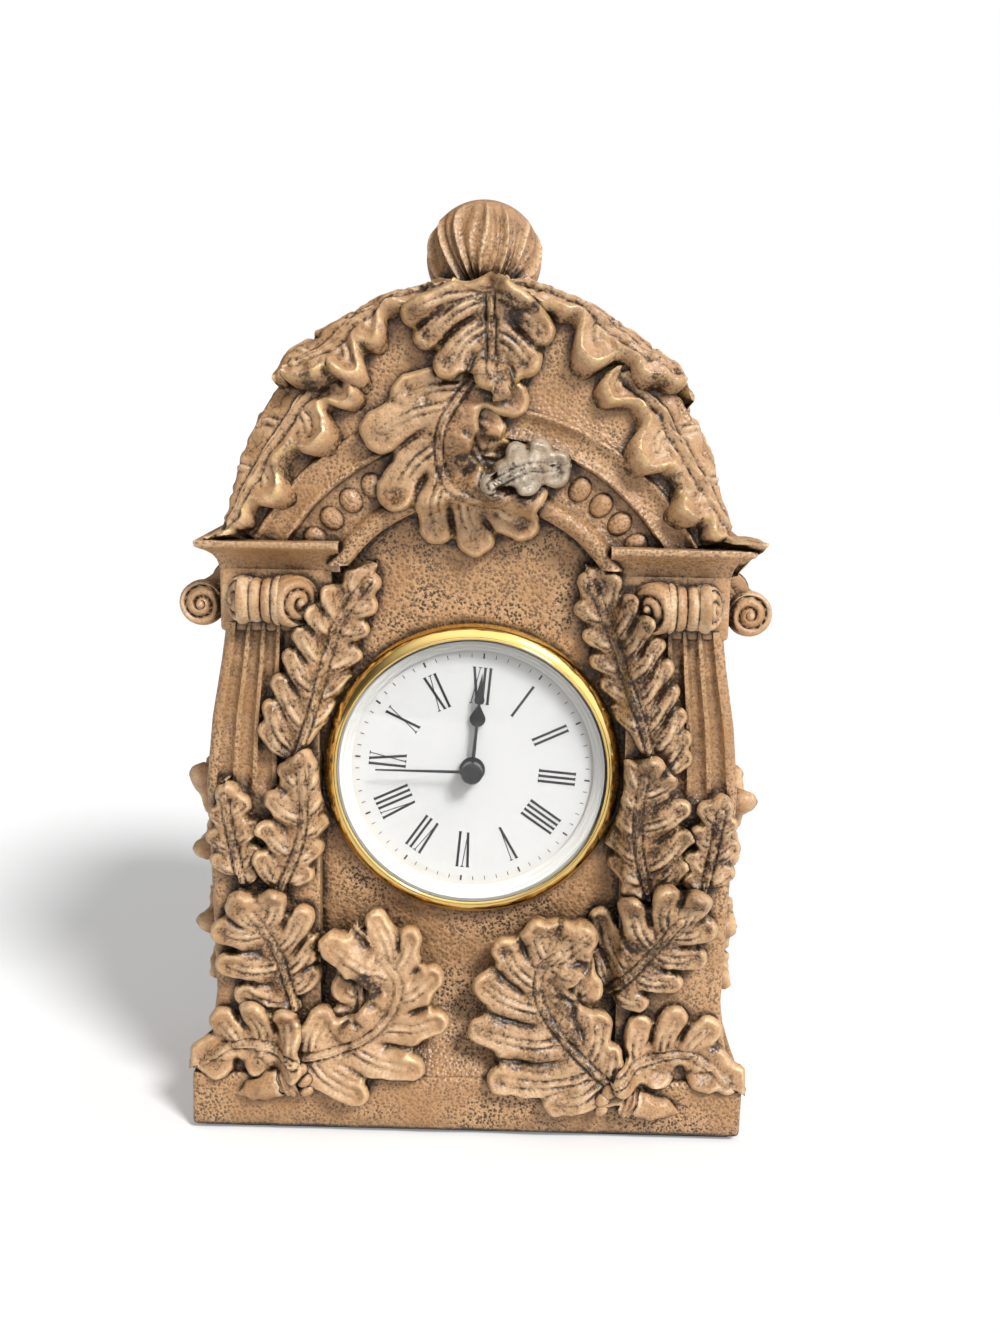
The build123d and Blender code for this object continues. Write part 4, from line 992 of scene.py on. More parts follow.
def oakLeaf(spec, ground):
    spec = {**leafDefaults, **spec}
    form = {**leafForm, **spec["form"]}
    skeleton = leafSkeleton(spec, form)
    rib, sideVeins, _ = skeleton
    corners = np.vstack([rib] + [line for line, _, _ in sideVeins])
    margin = max(radius for _, radius, _ in sideVeins) + form["margin"]
    low, high = corners.min(0) - margin, corners.max(0) + margin
    step = form["step"]
    gridU, gridV = np.meshgrid(*(np.arange(low[i], high[i], step) for i in (0, 1)), indexing="ij")
    flat = np.stack([gridU.ravel(), gridV.ravel()], -1)
    edge = leafFields(spec, form, skeleton, flat)[0].reshape(gridU.shape)
    inside = edge < 1.0
    cells = inside[:-1, :-1] | inside[1:, :-1] | inside[:-1, 1:] | inside[1:, 1:]
    used = np.zeros_like(inside)
    for du in (0, 1):
        for dv in (0, 1):
            used[du:used.shape[0] - 1 + du, dv:used.shape[1] - 1 + dv] |= cells
    # points past the outline are drawn back on to it
    slopeU, slopeV = np.gradient(edge, step)
    size = np.maximum(slopeU ** 2 + slopeV ** 2, 1e-4)
    past = used & (edge > 1.0)
    reach = np.clip((edge - 1.0) / size, 0, 2 * step / np.sqrt(size))
    placeU = np.where(past, gridU - reach * slopeU, gridU)
    placeV = np.where(past, gridV - reach * slopeV, gridV)
    floor = groundUnder(spec, form, ground, used, placeU, placeV)[used]
    spots = np.stack([placeU[used], placeV[used]], -1)
    fields = leafFields(spec, form, skeleton, spots)
    slope = np.sqrt(size[used])
    inset = np.clip((1 - fields[0]) / slope, 0, 20)  # distance in from the outline, in millimetres
    rise, wash, rim, gilt = leafCarving(spec, form, fields, inset, spots)
    # the underside stands back from the outline, so that the rim overhangs
    inward = np.stack([slopeU[used], slopeV[used]], -1) / slope[:, None]
    back = form["undercut"] * ramp(fields[0], form["undercutFrom"], 1 - form["undercutFrom"])
    top = inSpace(spec["plane"], spots, floor + rise)
    bottom = inSpace(spec["plane"], spots - inward * back[:, None], floor - form["sink"])
    plain = np.zeros(len(top))
    marks = {
        "wash": np.concatenate([wash, plain + form["underWash"]]),
        "rim": np.concatenate([rim, plain]),
        "gilt": np.concatenate([gilt, plain]),
        "leaf": np.ones(2 * len(top)),
    }
    return [tuple(p) for p in np.vstack([top, bottom])], leafFaces(cells, used), marks


# where the leaves lie: midribs from stem to tip, lobes as (place, radius, lift), all as (x, z) seen from the front

crownLeaf = {
    "plane": frontPlane(), "y": -31.0, "core": 0.6, "gilt": 0.5, "lift": (0.0, 0.6, 1.0, 1.4, 1.8),
    "flare": (1.0, 1.0), "stain": 0.18,
    "rib": ((-1, 185), (-7, 176), (-8.5, 169), (-7, 162), (-2, 158), (4, 156.5), (10, 160)),
    "lobes": (((-19, 180), 5.0), ((-25.5, 171), 5.4, 0.8), ((-21, 156), 4.6, 0.5), ((-9.5, 147), 4.2, 0.8),
              ((1, 144.5), 4.6, 0.4), ((14, 150), 4.2, 0.3), ((11, 179), 4.4)),
}
crownPocket = {
    "plane": frontPlane(), "y": -31.0, "core": 0.8, "gilt": 1.0, "stain": 0.0, "form": {"thick": 2.3, "valley": 0.5,
    "bulge": 0.3},
    "rib": ((-4, 178), (-1, 169), (4, 160)),
    "lobes": (((6, 174), 4.6), ((9, 167), 4.6), ((-7, 168), 4.0), ((8, 160), 4.0), ((0, 160), 3.6)),
}
crownFold = {
    "plane": frontPlane(), "y": -33.0, "core": 0.8, "gilt": 0.2, "lift": (0.7, 1.7, 1.1), "lean": 0.0,
    "form": {"waver": 1.4},
    "rib": ((4, 161.5), (11, 165), (18, 165.5)),
    "lobes": (((1.5, 161.5), 2.2, 1.0), ((6, 166.5), 2.4, 0.6), ((8.5, 170.5), 2.4, 1.0),
              ((14.5, 171.5), 2.8, 1.2), ((20.5, 168), 3.0, 0.8), ((19, 161), 3.0), ((12.5, 159.5), 3.0)),
}
roofLeaves = [
    {"rib": ((8, 206), (20, 202), (28, 196.5), (37, 189.5), (45, 186)), "lift": (1.6, 2.2, 1.6, 1.4, 2.2),
     "lean": 0.45,
     "lobes": (((14, 198.5), 4.2, 0.4), ((24.5, 185.5), 4.8, 0.6), ((37.5, 182), 4.2, 1.0),
               ((46.5, 184), 4.0, 1.2), ((15, -13, 206), 4.4), ((27, -12, 201), 4.4), ((37, -14, 194), 4.2),
               ((44, -19, 188), 3.2))},
    {"rib": ((-8, 206), (-19, 202), (-27, 196), (-34, 189.5), (-40, 185)), "lift": (0.8, 1.6, 1.0, 1.2, 1.8),
     "lean": 0.45,
     "lobes": (((-13, 198), 4.0, 0.4), ((-23, 190), 3.8, 0.5), ((-26.5, 180.5), 3.6, 0.6),
               ((-34.5, 180.5), 4.0, 1.0), ((-42, 182.5), 4.0, 1.0), ((-14, -13, 206), 4.4),
               ((-25, -12, 201), 4.4), ((-34, -14, 194), 4.0), ((-40, -20, 187), 3.0))},
    {"rib": ((33, 186), (41, 178), (46, 170), (51, 162), (56, 154), (63, 147.5)),
     "lift": (0.2, 0.5, 0.8, 1.0, 1.4, 2.2), "lean": 0.5, "outerDrop": 2.0,
     "lobes": (((27.5, 179.5), 4.0, 0.4), ((36, 163.5), 5.0, 0.6), ((46, 152), 4.8, 0.5), ((54, 148), 3.2, 0.2),
               ((47, -13, 180), 4.4), ((54, -13, 169), 4.4), ((59, -14, 158), 4.0), ((65, -22, 148), 2.6, 2.4))},
    {"rib": ((-33, 185), (-40, 178), (-46, 169), (-51, 160), (-55, 152), (-58, 148)),
     "lift": (0.2, 0.5, 0.8, 1.0, 1.0, 1.2), "lean": 0.5, "outerDrop": 2.6,
     "lobes": (((-27, 178), 3.8, 0.4), ((-33.5, 166.5), 4.8, 0.6), ((-44, 154.5), 4.8, 0.5),
               ((-53, 149), 3.4, 0.2), ((-46, -13, 179), 4.2), ((-54, -13, 168), 4.2), ((-57, -14, 157), 3.8),
               ((-58.5, -23, 148.5), 2.4, 1.6))},
]
for leaf in roofLeaves:
    leaf.update(plane=roofPlane(leaf["rib"][0], leaf["rib"][-1]), y=-28.0, core=0.5, outerCore=0.96, innerRise=0.3,
                gilt=0.7, flare=(0.9, 1.0), stain=0.15,
                form={"bulge": -0.3, "cup": 0.6, "rimHeight": 0.8, "thick": 2.8, "hollowDarkening": 0.15})
crestLeaf = {
    "plane": frontPlane(), "y": -31.0, "core": 0.6, "gilt": 0.9, "lean": 0.9, "lift": (0.4, 0.6, 0.8),
    "flare": (1.2, 0.95), "stain": 0.3,
    "rib": ((2.5, 204), (3, 194), (3.3, 186)),
    "lobes": (((3.3, 182.5), 4.0, 0.8), ((-9, 186), 3.7, 0.8), ((13.5, 187), 4.1, 0.8), ((-14, 192.5), 3.6, 0.4),
              ((16.5, 194), 3.8, 0.4), ((-17, 198), 3.4, 0.2), ((12, 199.5), 3.2)),
}
garlandLeaves = [
    {"bezel": True, "lean": 0.8, "lift": (0.2, 0.6, 0.9, 1.6), "core": 0.8,
     "rib": ((-42, 94), (-37.5, 108), (-34.5, 120), (-31.5, 128.5), (-25, 138)),
     "lobes": (((-50, 103), 2.6), ((-48.5, 109), 2.5), ((-46.5, 115), 2.5), ((-44, 121), 2.4),
               ((-41.5, 126.5), 2.4), ((-38, 132), 2.2), ((-34.5, 136.5), 2.2, 0.4), ((-29.5, 140.5), 2.2, 0.8),
               ((-22.5, 138), 2.2, 1.2), ((-23, 131.5), 2.2), ((-25, 126), 2.2), ((-27, 120), 2.2),
               ((-29, 114), 2.2), ((-31, 108), 2.2))},
    {"bezel": True, "lean": 0.8, "lift": (0.2, 0.6, 0.9, 1.6), "core": 0.8,
     "rib": ((44, 93), (40.6, 104), (36.5, 115), (33, 125), (27.5, 138)),
     "lobes": (((52, 98), 2.4), ((51, 103.5), 2.5), ((49.5, 109), 2.5), ((47.5, 115), 2.5), ((46, 120.5), 2.4),
               ((44, 126), 2.4), ((40.5, 131.5), 2.4), ((37, 136), 2.2, 0.4), ((32.5, 140.5), 2.4, 0.8),
               ((25, 140), 2.2, 1.2), ((24, 132.5), 2.2), ((26, 126), 2.2), ((28, 120), 2.2), ((30.5, 114), 2.2),
               ((33, 108), 2.2))},
    {"lean": 0.6, "core": 0.7, "lift": (0.0, 0.4, 2.0),
     "rib": ((-55, 64), (-57.5, 76), (-58.5, 86)),
     "lobes": (((-62.5, 70), 2.4), ((-63.5, 76), 2.4), ((-62.5, 82), 2.3), ((-59, 88.5), 2.4, 0.8),
               ((-53, 85), 2.3), ((-51.5, 79), 2.4), ((-51, 73), 2.4), ((-51.5, 67), 2.3))},
    {"lean": 0.6, "core": 0.7, "lift": (0.0, 0.4, 2.0),
     "rib": ((56.5, 64), (58.5, 76), (59.5, 85)),
     "lobes": (((63.5, 70), 2.4), ((64.5, 76), 2.4), ((63.5, 82), 2.3), ((60.5, 88.5), 2.4, 1.0),
               ((54.5, 86), 2.3), ((53, 80), 2.4), ((52, 74), 2.4), ((51.5, 68), 2.3))},
    {"bezel": True, "lean": 0.7, "core": 0.8, "lift": (0.3, 0.5, 0.8, 1.6),
     "rib": ((-46, 62), (-41.5, 73), (-40, 82), (-40.5, 93)),
     "lobes": (((-51, 72), 2.6), ((-50.5, 79), 2.6), ((-49, 86), 2.6), ((-45.5, 93.5), 2.4, 0.6),
               ((-39.5, 98), 2.2, 1.0), ((-35.5, 92), 2.2), ((-34.5, 86), 2.3), ((-34.5, 79.5), 2.3),
               ((-36, 73), 2.4), ((-38, 67), 2.4))},
    {"bezel": True, "lean": 0.7, "core": 0.8, "lift": (0.3, 0.5, 0.8, 1.6),
     "rib": ((43.5, 62), (40.5, 74), (40, 84), (41, 93)),
     "lobes": (((51.5, 72), 2.5), ((52.5, 79), 2.6), ((52, 86), 2.5), ((48.5, 92.5), 2.4, 0.6),
               ((43, 97.5), 2.3, 1.0), ((36.5, 96), 2.2), ((34, 90), 2.3), ((33, 83.5), 2.3), ((32.5, 77), 2.4),
               ((34, 70.5), 2.4), ((37, 65), 2.3))},
    {"lean": 0.5, "core": 0.58, "lift": (0.3, 0.8, 3.0), "y": -30.0,
     "rib": ((-42.5, 32), (-46, 45), (-52, 57)),
     "lobes": (((-62, 52), 3.8, 0.6), ((-57, 61), 4.2, 2.0), ((-46, 63), 3.4, 0.8), ((-39, 58), 3.2),
               ((-36.5, 50), 3.2), ((-37, 42), 3.0), ((-61.5, 43), 3.4), ((-57, 35.5), 3.2), ((-50, 31), 2.8))},
    {"lean": 0.5, "core": 0.58, "lift": (0.3, 0.8, 3.0), "y": -30.0,
     "rib": ((34, 36), (42.5, 46), (51, 58)),
     "lobes": (((31, 57), 3.2), ((38, 63), 3.4, 0.6), ((47, 67), 3.4, 1.4), ((56.5, 65), 3.8, 2.2),
               ((59.5, 56), 3.4), ((57.5, 47.5), 3.2), ((52, 40.5), 3.0), ((44, 35), 2.8), ((30.5, 47), 2.8))},
]
for leaf in garlandLeaves:
    right = leaf["rib"][0][0] > 0
    leaf.update(plane=frontPlane(), y=leaf.get("y", -29.0), gilt=0.3, floor=19.0, form={"bulge": 0.6},
                stain=0.3 if right else 0.2)  # the right-hand garland is darker
fanBed = ((8, 34.2), (57, 25.6))  # the ground of pockets and fans is at least this far forward, as (z, distance)
baseLeaves = [
    {"core": 0.8, "form": {"thick": 1.4, "bulge": 0.3}, "bed": fanBed,
     "rib": ((-27, 26), (-26, 34), (-27, 43)),
     "lobes": (((-33, 38), 4.0), ((-20, 38), 4.4), ((-33, 31), 4.0), ((-21, 30), 4.0))},
    {"core": 0.8, "form": {"thick": 1.4, "bulge": 0.3}, "bed": fanBed,
     "rib": ((27, 25), (26, 34), (26, 44)),
     "lobes": (((32, 40), 4.0), ((20, 40), 4.4), ((32, 31), 4.0), ((21, 32), 4.0))},
    {"core": 0.62, "lift": (0.8, 1.0, 1.2, 2.4), "bed": fanBed, "flare": (1.5, 0.78), "stain": 0.0,
     "form": {"thick": 2.7, "rimHeight": 0.45, "cup": 0.5, "bulge": 0.4},
     "rib": ((-42, 20), (-29, 23.5), (-20, 30), (-17, 39), (-21.5, 46)),
     "lobes": (((-36.5, 50), 4.6, 1.4), ((-23.5, 57.5), 3.8), ((-13, 53.5), 4.0), ((-6, 43), 4.0),
               ((-4, 30.5), 4.0), ((-10, 17.5), 4.2), ((-24, 10), 4.2), ((-27.5, 42), 4.2, 1.8),
               ((-34.5, 33.5), 4.6, 0.4))},
    {"core": 0.76, "lift": (0.8, 1.0, 1.2, 2.4), "bed": fanBed, "flare": (1.5, 0.8), "stain": 0.25,
     "form": {"thick": 2.7, "rimHeight": 0.45, "cup": 0.5, "bulge": 0.4},
     "rib": ((35, 15.5), (25, 25), (18, 35), (17.5, 43), (22, 48)),
     "lobes": (((15.5, 56), 3.8), ((6.5, 50.5), 4.0), ((1, 40.5), 4.2), ((0, 28.5), 4.2), ((5, 16), 4.2),
               ((19, 9.5), 4.2), ((31, 54.5), 4.4, 2.2), ((27.5, 42), 4.0, 0.8), ((33, 34), 4.0, 0.4),
               ((36, 26), 3.2))},
    {"core": 0.5, "lean": 0.3, "lift": (0.4, 0.6, 0.2), "form": {"thick": 2.4},
     "rib": ((-42, 20), (-51, 22.5), (-59, 22), (-65, 18)),
     "lobes": (((-62, 30.5), 3.6, 0.5), ((-53.5, 34), 3.8, 0.5), ((-45, 32.5), 3.4), ((-46, 16.5), 4.4),
               ((-53, 16.0), 5.0), ((-60, 15.0), 4.6))},
    {"core": 0.5, "lean": 0.3, "lift": (0.4, 0.6, 0.2), "form": {"thick": 2.4},
     "rib": ((36, 17), (46, 21.5), (56, 22), (64, 16)),
     "lobes": (((42.5, 32), 3.4, 0.4), ((51.5, 34), 3.8, 0.5), ((61, 31), 3.6, 0.4), ((42, 15.5), 4.2),
               ((49, 15.5), 5.0), ((57, 14.5), 4.8))},
]
for leaf in baseLeaves:
    leaf.update(plane=frontPlane(), y=-33.0, gilt=0.35, base=True, floor=20.0)
flank = {
    "x": 62, "bow": 1, "tipRadius": 3.0,
    # stem and tip as (y, z), then the lobes that show past the front edge as (y, z, lift)
    "leaves": {
        -1: (((7, 58), (-8, 85), ((-19, 67.5, 2.8), (-19, 88.5, 2.8))),
             ((9, 22), (-9, 50), ((-15, 34, 0.2), (-19, 49, 2.8)))),
        1: (((7, 58), (-8, 85), ((-14, 67, 0.2), (-19, 83.5, 2.8))),
            ((9, 22), (-9, 50), ((-14, 34, 0.0), (-14, 49, 0.4)))),
    },
    # the other lobes as (y, share of the leaf's height, radius, lift)
    "rear": ((17, 0.25, 3.8, 0.0), (13, 0.62, 3.8, 0.0), (4, 0.95, 3.4, 0.4)),
}
flankLeaves = []
for side, leaves in flank["leaves"].items():
    for (y0, z0), (y1, z1), tips in leaves:
        x, rise = side * flank["x"], z1 - z0
        rib = [(x, y0, z0), (x, (y0 + y1) / 2 + flank["bow"], z0 + 0.5 * rise), (x, y1, z1)]
        lobes = [((x, y, z), flank["tipRadius"], lift) for y, z, lift in tips]
        lobes += [((x, y, z0 + share * rise), radius, lift) for y, share, radius, lift in flank["rear"]]
        flankLeaves.append({"plane": flankPlane(side), "gilt": 0.3, "lift": (0.2, 0.6, 0.8),
                            "rib": rib, "lobes": lobes})

# each group lies on the ones before it
leafGroups = (
    ("flankLeaves", flankLeaves),
    ("roofLeavesLow", roofLeaves[2:]),
    ("roofLeavesHigh", roofLeaves[:2]),
    ("crownPocket", [crownPocket]),
    ("crownLeaf", [crownLeaf]),
    ("crownFold", [crownFold]),
    ("crestLeaf", [crestLeaf]),
    ("garlandTop", garlandLeaves[:4]),
    ("garlandMiddle", garlandLeaves[4:6]),
    ("garlandFoot", garlandLeaves[6:]),
    ("basePockets", baseLeaves[:2]),
    ("baseFans", baseLeaves[2:4]),
    ("baseSprays", baseLeaves[4:]),
)


def addLeaves():
    laid = joined(*bodyShapes.values())
    total = 0
    for name, specs in leafGroups:
        ground = BVHTree.FromPolygons([Vector(p) for p in laid[0]], laid[1])
        parts = [oakLeaf(spec, ground) for spec in specs]
        shape = joined(*[(verts, faces) for verts, faces, _ in parts])
        marks = {key: np.concatenate([part[2][key] for part in parts]) for key in parts[0][2]}
        castPiece(name, shape, silverResin if name == "crownFold" else resin, marks, 60.0)
        laid = joined(laid, shape)
        total += len(shape[1])
    print("leaves made:", total, "faces")


addLeaves()

# acorns as (x, z, aim in degrees), knots as (x, z, radius)
acorn = {
    "radius": 3.7, "length": 10.5, "taper": 0.7, "least": 0.02, "nutRings": 22, "spokes": 40,
    "proud": 0.6, "nod": -0.06,
    "cup": 4.0, "cupStart": -4.2, "cupEnd": 1.2, "cupRings": 22, "cupMiddle": 0.35, "cupRound": 0.43,
    "scaleDepth": 0.22, "scalePitch": 26, "lumps": 0.8, "lumpSize": 2.6, "smooth": 0.8, "sharp": 50.0,
    "places": ((-46.0, 13.8, 198.0), (42.0, 10.6, -11.0)),
    "knots": ((-40.6, 18.2, 1.7), (-39.4, 15.6, 1.7), (-38.8, 13.0, 1.5),
              (35.2, 14.6, 1.8), (33.4, 12.4, 1.7), (33.2, 9.8, 1.5)),
    "knotY": -36.2, "knotAxis": (0.8, 0.0, 0.6), "knotStretch": 1.25, "knotRings": 13, "knotSpokes": 24,
}


def acornShape(x, z, aim):
    # cup with rows of scales and a pointed nut, half sunk in the plinth's face
    k = acorn
    along = Vector((math.cos(math.radians(aim)), k["nod"], math.sin(math.radians(aim))))
    side = along.cross(Vector((0, 1, 0)))
    place = (x, case["frontY"] - k["proud"], z)
    nut = [(axisGap, 0.0)]
    for share in np.linspace(0.0, 1.0, k["nutRings"]):
        nut.append((k["radius"] * (1 - share ** 2.0) ** k["taper"] + k["least"], share * k["length"]))
    cup = [(axisGap, k["cupStart"])]
    for i in range(k["cupRings"] + 1):
        share = i / k["cupRings"]
        r = k["cup"] * math.sqrt(max(0.0, 1 - (share - k["cupMiddle"]) ** 2 / k["cupRound"]))
        r += k["scaleDepth"] * math.sin(share * k["scalePitch"])
        cup.append((max(k["least"], r), k["cupStart"] + (k["cupEnd"] - k["cupStart"]) * share))
    cup.append((axisGap, k["cupEnd"]))
    parts = [lathe(profile, place, along, side, k["spokes"]) for profile in (nut, cup)]
    return uneven(joined(*parts), k["lumps"], k["lumpSize"])


def knotShape(x, z, radius):
    # small oval swelling where the stems meet
    k = acorn
    profile = [(max(k["least"], radius * math.sin(t)), k["knotStretch"] * radius * math.cos(t))
               for t in np.linspace(0.0, math.pi, k["knotRings"])]
    return lathe(profile, (x, k["knotY"], z), k["knotAxis"], (0, 1, 0), k["knotSpokes"])


acorns = [acornShape(*spot) for spot in acorn["places"]] + [knotShape(*spot) for spot in acorn["knots"]]
acornForm = joined(*acorns)
castPiece("acorns", acornForm, resin, {"leaf": [acorn["smooth"]] * len(acornForm[0])}, acorn["sharp"])
print("acorns made:", len(acorn["places"]))

# felt under the base

felt = {"half": (65.5, 30.5), "thick": 1.2, "edge": 0.35, "step": 6.0}
feltLook = surfaceMaterial("greenFelt", (0.05, 0.075, 0.045), 0.95, vary=0.35, scale=1800.0, bump=0.6)
feltLow, feltHigh = (-felt["half"][0], -felt["half"][1], 0.0), (*felt["half"], felt["thick"])
feltShape = softBox(feltLow, feltHigh, felt["edge"], felt["step"])
feltPiece = makePiece("feltPad", feltShape, feltLook, "case")
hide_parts("base_felt")
print("felt made")

# insert: turned pieces replaced by smooth ones, the rest of the solids painted

insert = {"turn": math.radians(5.0), "place": (0, case["fieldY"], case["dialZ"]), "segments": 160}
insertAxis = Vector((0, -1, 0))
insertSide = Vector((math.cos(insert["turn"]), 0, -math.sin(insert["turn"])))
insertUp = Vector((math.sin(insert["turn"]), 0, math.cos(insert["turn"])))


def inInsert(x, y, z):
    return Vector(insert["place"]) + insertSide * x + insertUp * y + insertAxis * z


def turnedPiece(name, profile, material, node, sharp=35.0):
    shape = lathe(profile, insert["place"], insertAxis, insertSide, insert["segments"])
    piece = makePiece(name, shape, material, "insert", sharp)
    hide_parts(node)
    return piece


def arcPoints(start, bulge, end, count):
    # points on the circle through three places
    (ax, ay), (bx, by), (cx, cy) = start, bulge, end
    a, b, c = ax * ax + ay * ay, bx * bx + by * by, cx * cx + cy * cy
    d = 2 * (ax * (by - cy) + bx * (cy - ay) + cx * (ay - by))
    ux = (a * (by - cy) + b * (cy - ay) + c * (ay - by)) / d
    uy = (a * (cx - bx) + b * (ax - cx) + c * (bx - ax)) / d
    r = math.hypot(ax - ux, ay - uy)
    first, middle, last = (math.atan2(y - uy, x - ux) for x, y in (start, bulge, end))
    middle -= tau * round((middle - first) / tau)
    last -= tau * round((last - middle) / tau)
    turns = [first + (last - first) * i / count for i in range(count + 1)]
    return [(ux + r * math.cos(turn), uy + r * math.sin(turn)) for turn in turns]


# profiles are (radius, height)
bezelForm = {"radius": 36.0, "back": 0.1, "shelf": 0.9, "top": 4.9, "rim": 33.3, "wall": 32.6, "opening": 29.6,
             "bulge": (35.33, 3.54), "domeSteps": 18, "lip": 0.23, "lipSteps": 8}
lensForm = {"outer": ((0.02, 8.6), (16.25, 7.6), (32.5, 4.6)), "inner": ((31.9, 3.2), (16.0, 6.05), (0.02, 7.0)),
            "foot": (32.5, 3.2), "steps": 40, "sharp": 50.0,
            "index": 1.45, "haze": 400.0, "hazeFade": (0.3, 0.8, 0.0, 0.03)}
reflector = {"profile": ((29.3, 0.9), (32.5, 0.9), (32.5, 3.2), (31.9, 3.2),
                         (31.2, 2.6), (31.0, 2.6), (30.2, 1.7), (30.0, 1.7)), "sharp": 30.0}


def addBezel():
    k = bezelForm
    rim, lipEnd = (k["rim"], k["top"]), (k["wall"], k["top"])
    dome = arcPoints((k["radius"], k["shelf"]), k["bulge"], rim, k["domeSteps"])
    lip = arcPoints(rim, ((k["rim"] + k["wall"]) / 2, k["top"] + k["lip"]), lipEnd, k["lipSteps"])
    profile = [(k["opening"], k["back"]), (k["radius"], k["back"])] + dome + lip[1:]
    profile += [(k["wall"], k["shelf"]), (k["opening"], k["shelf"])]
    turnedPiece("brassBezel", profile, brass, "bezel")


def lensMaterial():
    k = lensForm
    material, tree, shader = newMaterial("clearLens")
    haze = rampNode(tree, noiseNode(tree, objectCoords(tree), k["haze"]), *k["hazeFade"])
    feed(tree, shader, IOR=k["index"], Transmission_Weight=1.0, Roughness=haze)
    return material


def addLens():
    k = lensForm
    profile = arcPoints(*k["outer"], k["steps"]) + [k["foot"]] + arcPoints(*k["inner"], k["steps"])
    piece = turnedPiece("domedLens", profile, lensMaterial(), "lens", k["sharp"])
    piece.visible_shadow = False


def addReflector():
    look = surfaceMaterial("paleRing", (0.80, 0.79, 0.75), 0.35, vary=0.05, scale=200.0, bump=0.02, coat=0.3)
    turnedPiece("reflectorRing", reflector["profile"], look, "reflector_ring", reflector["sharp"])


addBezel()
addLens()
addReflector()

# minute marks are (width, share of the track)
dialPrint = {"foot": 16.2, "top": 25.0, "thick": 0.62, "thin": 0.2, "serif": 0.22, "serifHalf": 0.42,
             "lift": 0.02, "film": 0.05,
             "widths": {"I": 1.3, "V": 2.5, "X": 2.6}, "legInset": 0.22,
             "hours": ("XII", "I", "II", "III", "IIII", "V", "VI", "VII", "VIII", "IX", "X", "XI"),
             "trackInner": 27.3, "trackOuter": 28.5, "mark": (0.18, 0.8), "boldMark": (0.42, 1.1)}


def numeralStrokes(letters):
    # slanted bars as (x0, y0, x1, y1, width), with hairline serifs at the ends
    k = dialPrint
    x = -sum(k["widths"][c] for c in letters) / 2
    low, high, half = k["foot"], k["top"], k["serifHalf"]
    bars = []
    for c in letters:
        w = k["widths"][c]
        left, right, middle = x + k["legInset"] * w, x + (1 - k["legInset"]) * w, x + 0.5 * w
        if c == "I":
            bars.append((middle, low, middle, high, k["thick"]))
            ends = ((middle, low), (middle, high))
        elif c == "V":
            bars += [(left, high, middle, low, k["thick"]), (right, high, middle, low, k["thin"])]
            ends = ((left, high), (right, high))
        else:
            bars += [(left, high, right, low, k["thick"]), (right, high, left, low, k["thin"])]
            ends = ((left, high), (right, high), (left, low), (right, low))
        bars += [(ex - half, ey, ex + half, ey, k["serif"]) for ex, ey in ends]
        x += w
    return bars


def addNumerals(ink):
    k = dialPrint
    shapes = []
    for hour, letters in enumerate(k["hours"]):
        turn = math.radians(30 * hour)
        cos, sin = math.cos(turn), math.sin(turn)
        for x0, y0, x1, y1, width in numeralStrokes(letters):
            half = width / 2
            if abs(y1 - y0) > abs(x1 - x0):
                corners = ((x0 - half, y0), (x0 + half, y0), (x1 + half, y1), (x1 - half, y1))
            else:
                corners = ((x0, y0 - half), (x1, y0 - half), (x1, y0 + half), (x0, y0 + half))
            shapes.append(loft([[inInsert(x * cos + y * sin, y * cos - x * sin, height) for x, y in corners]
                                for height in (k["lift"], k["lift"] + k["film"])]))
    makePiece("dialNumerals", joined(*shapes), ink, "insert", 20.0)


def addTrack(ink):
    # minute dashes, every fifth one bolder
    k = dialPrint
    points, turns, grows = [], [], []
    radius = (k["trackInner"] + k["trackOuter"]) / 2
    for minute in range(60):
        turn = math.radians(6 * minute)
        points.append(inInsert(radius * math.sin(turn), radius * math.cos(turn), k["lift"] + k["film"] / 2))
        turns.append((0, turn + insert["turn"], 0))
        width, share = k["boldMark"] if minute % 5 == 0 else k["mark"]
        grows.append((width * mm, k["film"] * mm, (k["trackOuter"] - k["trackInner"]) * mm * share))
    piece = pointPiece("minuteTrack", points, turns, grows)
    tree = instanceTree("minuteDashes", "GeometryNodeMeshCube", [("Dash Size", "NodeSocketVector", "Size")], ink)
    applyTree(piece, tree, {"Dash Size": (1.0, 1.0, 1.0)})
    piece.data.shade_flat()
    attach(piece, "insert")


dialInk = surfaceMaterial("dialInk", (0.02, 0.02, 0.022), 0.5, vary=0.2, scale=900.0, bump=0.02)
addNumerals(dialInk)
addTrack(dialInk)
print("insert front made")

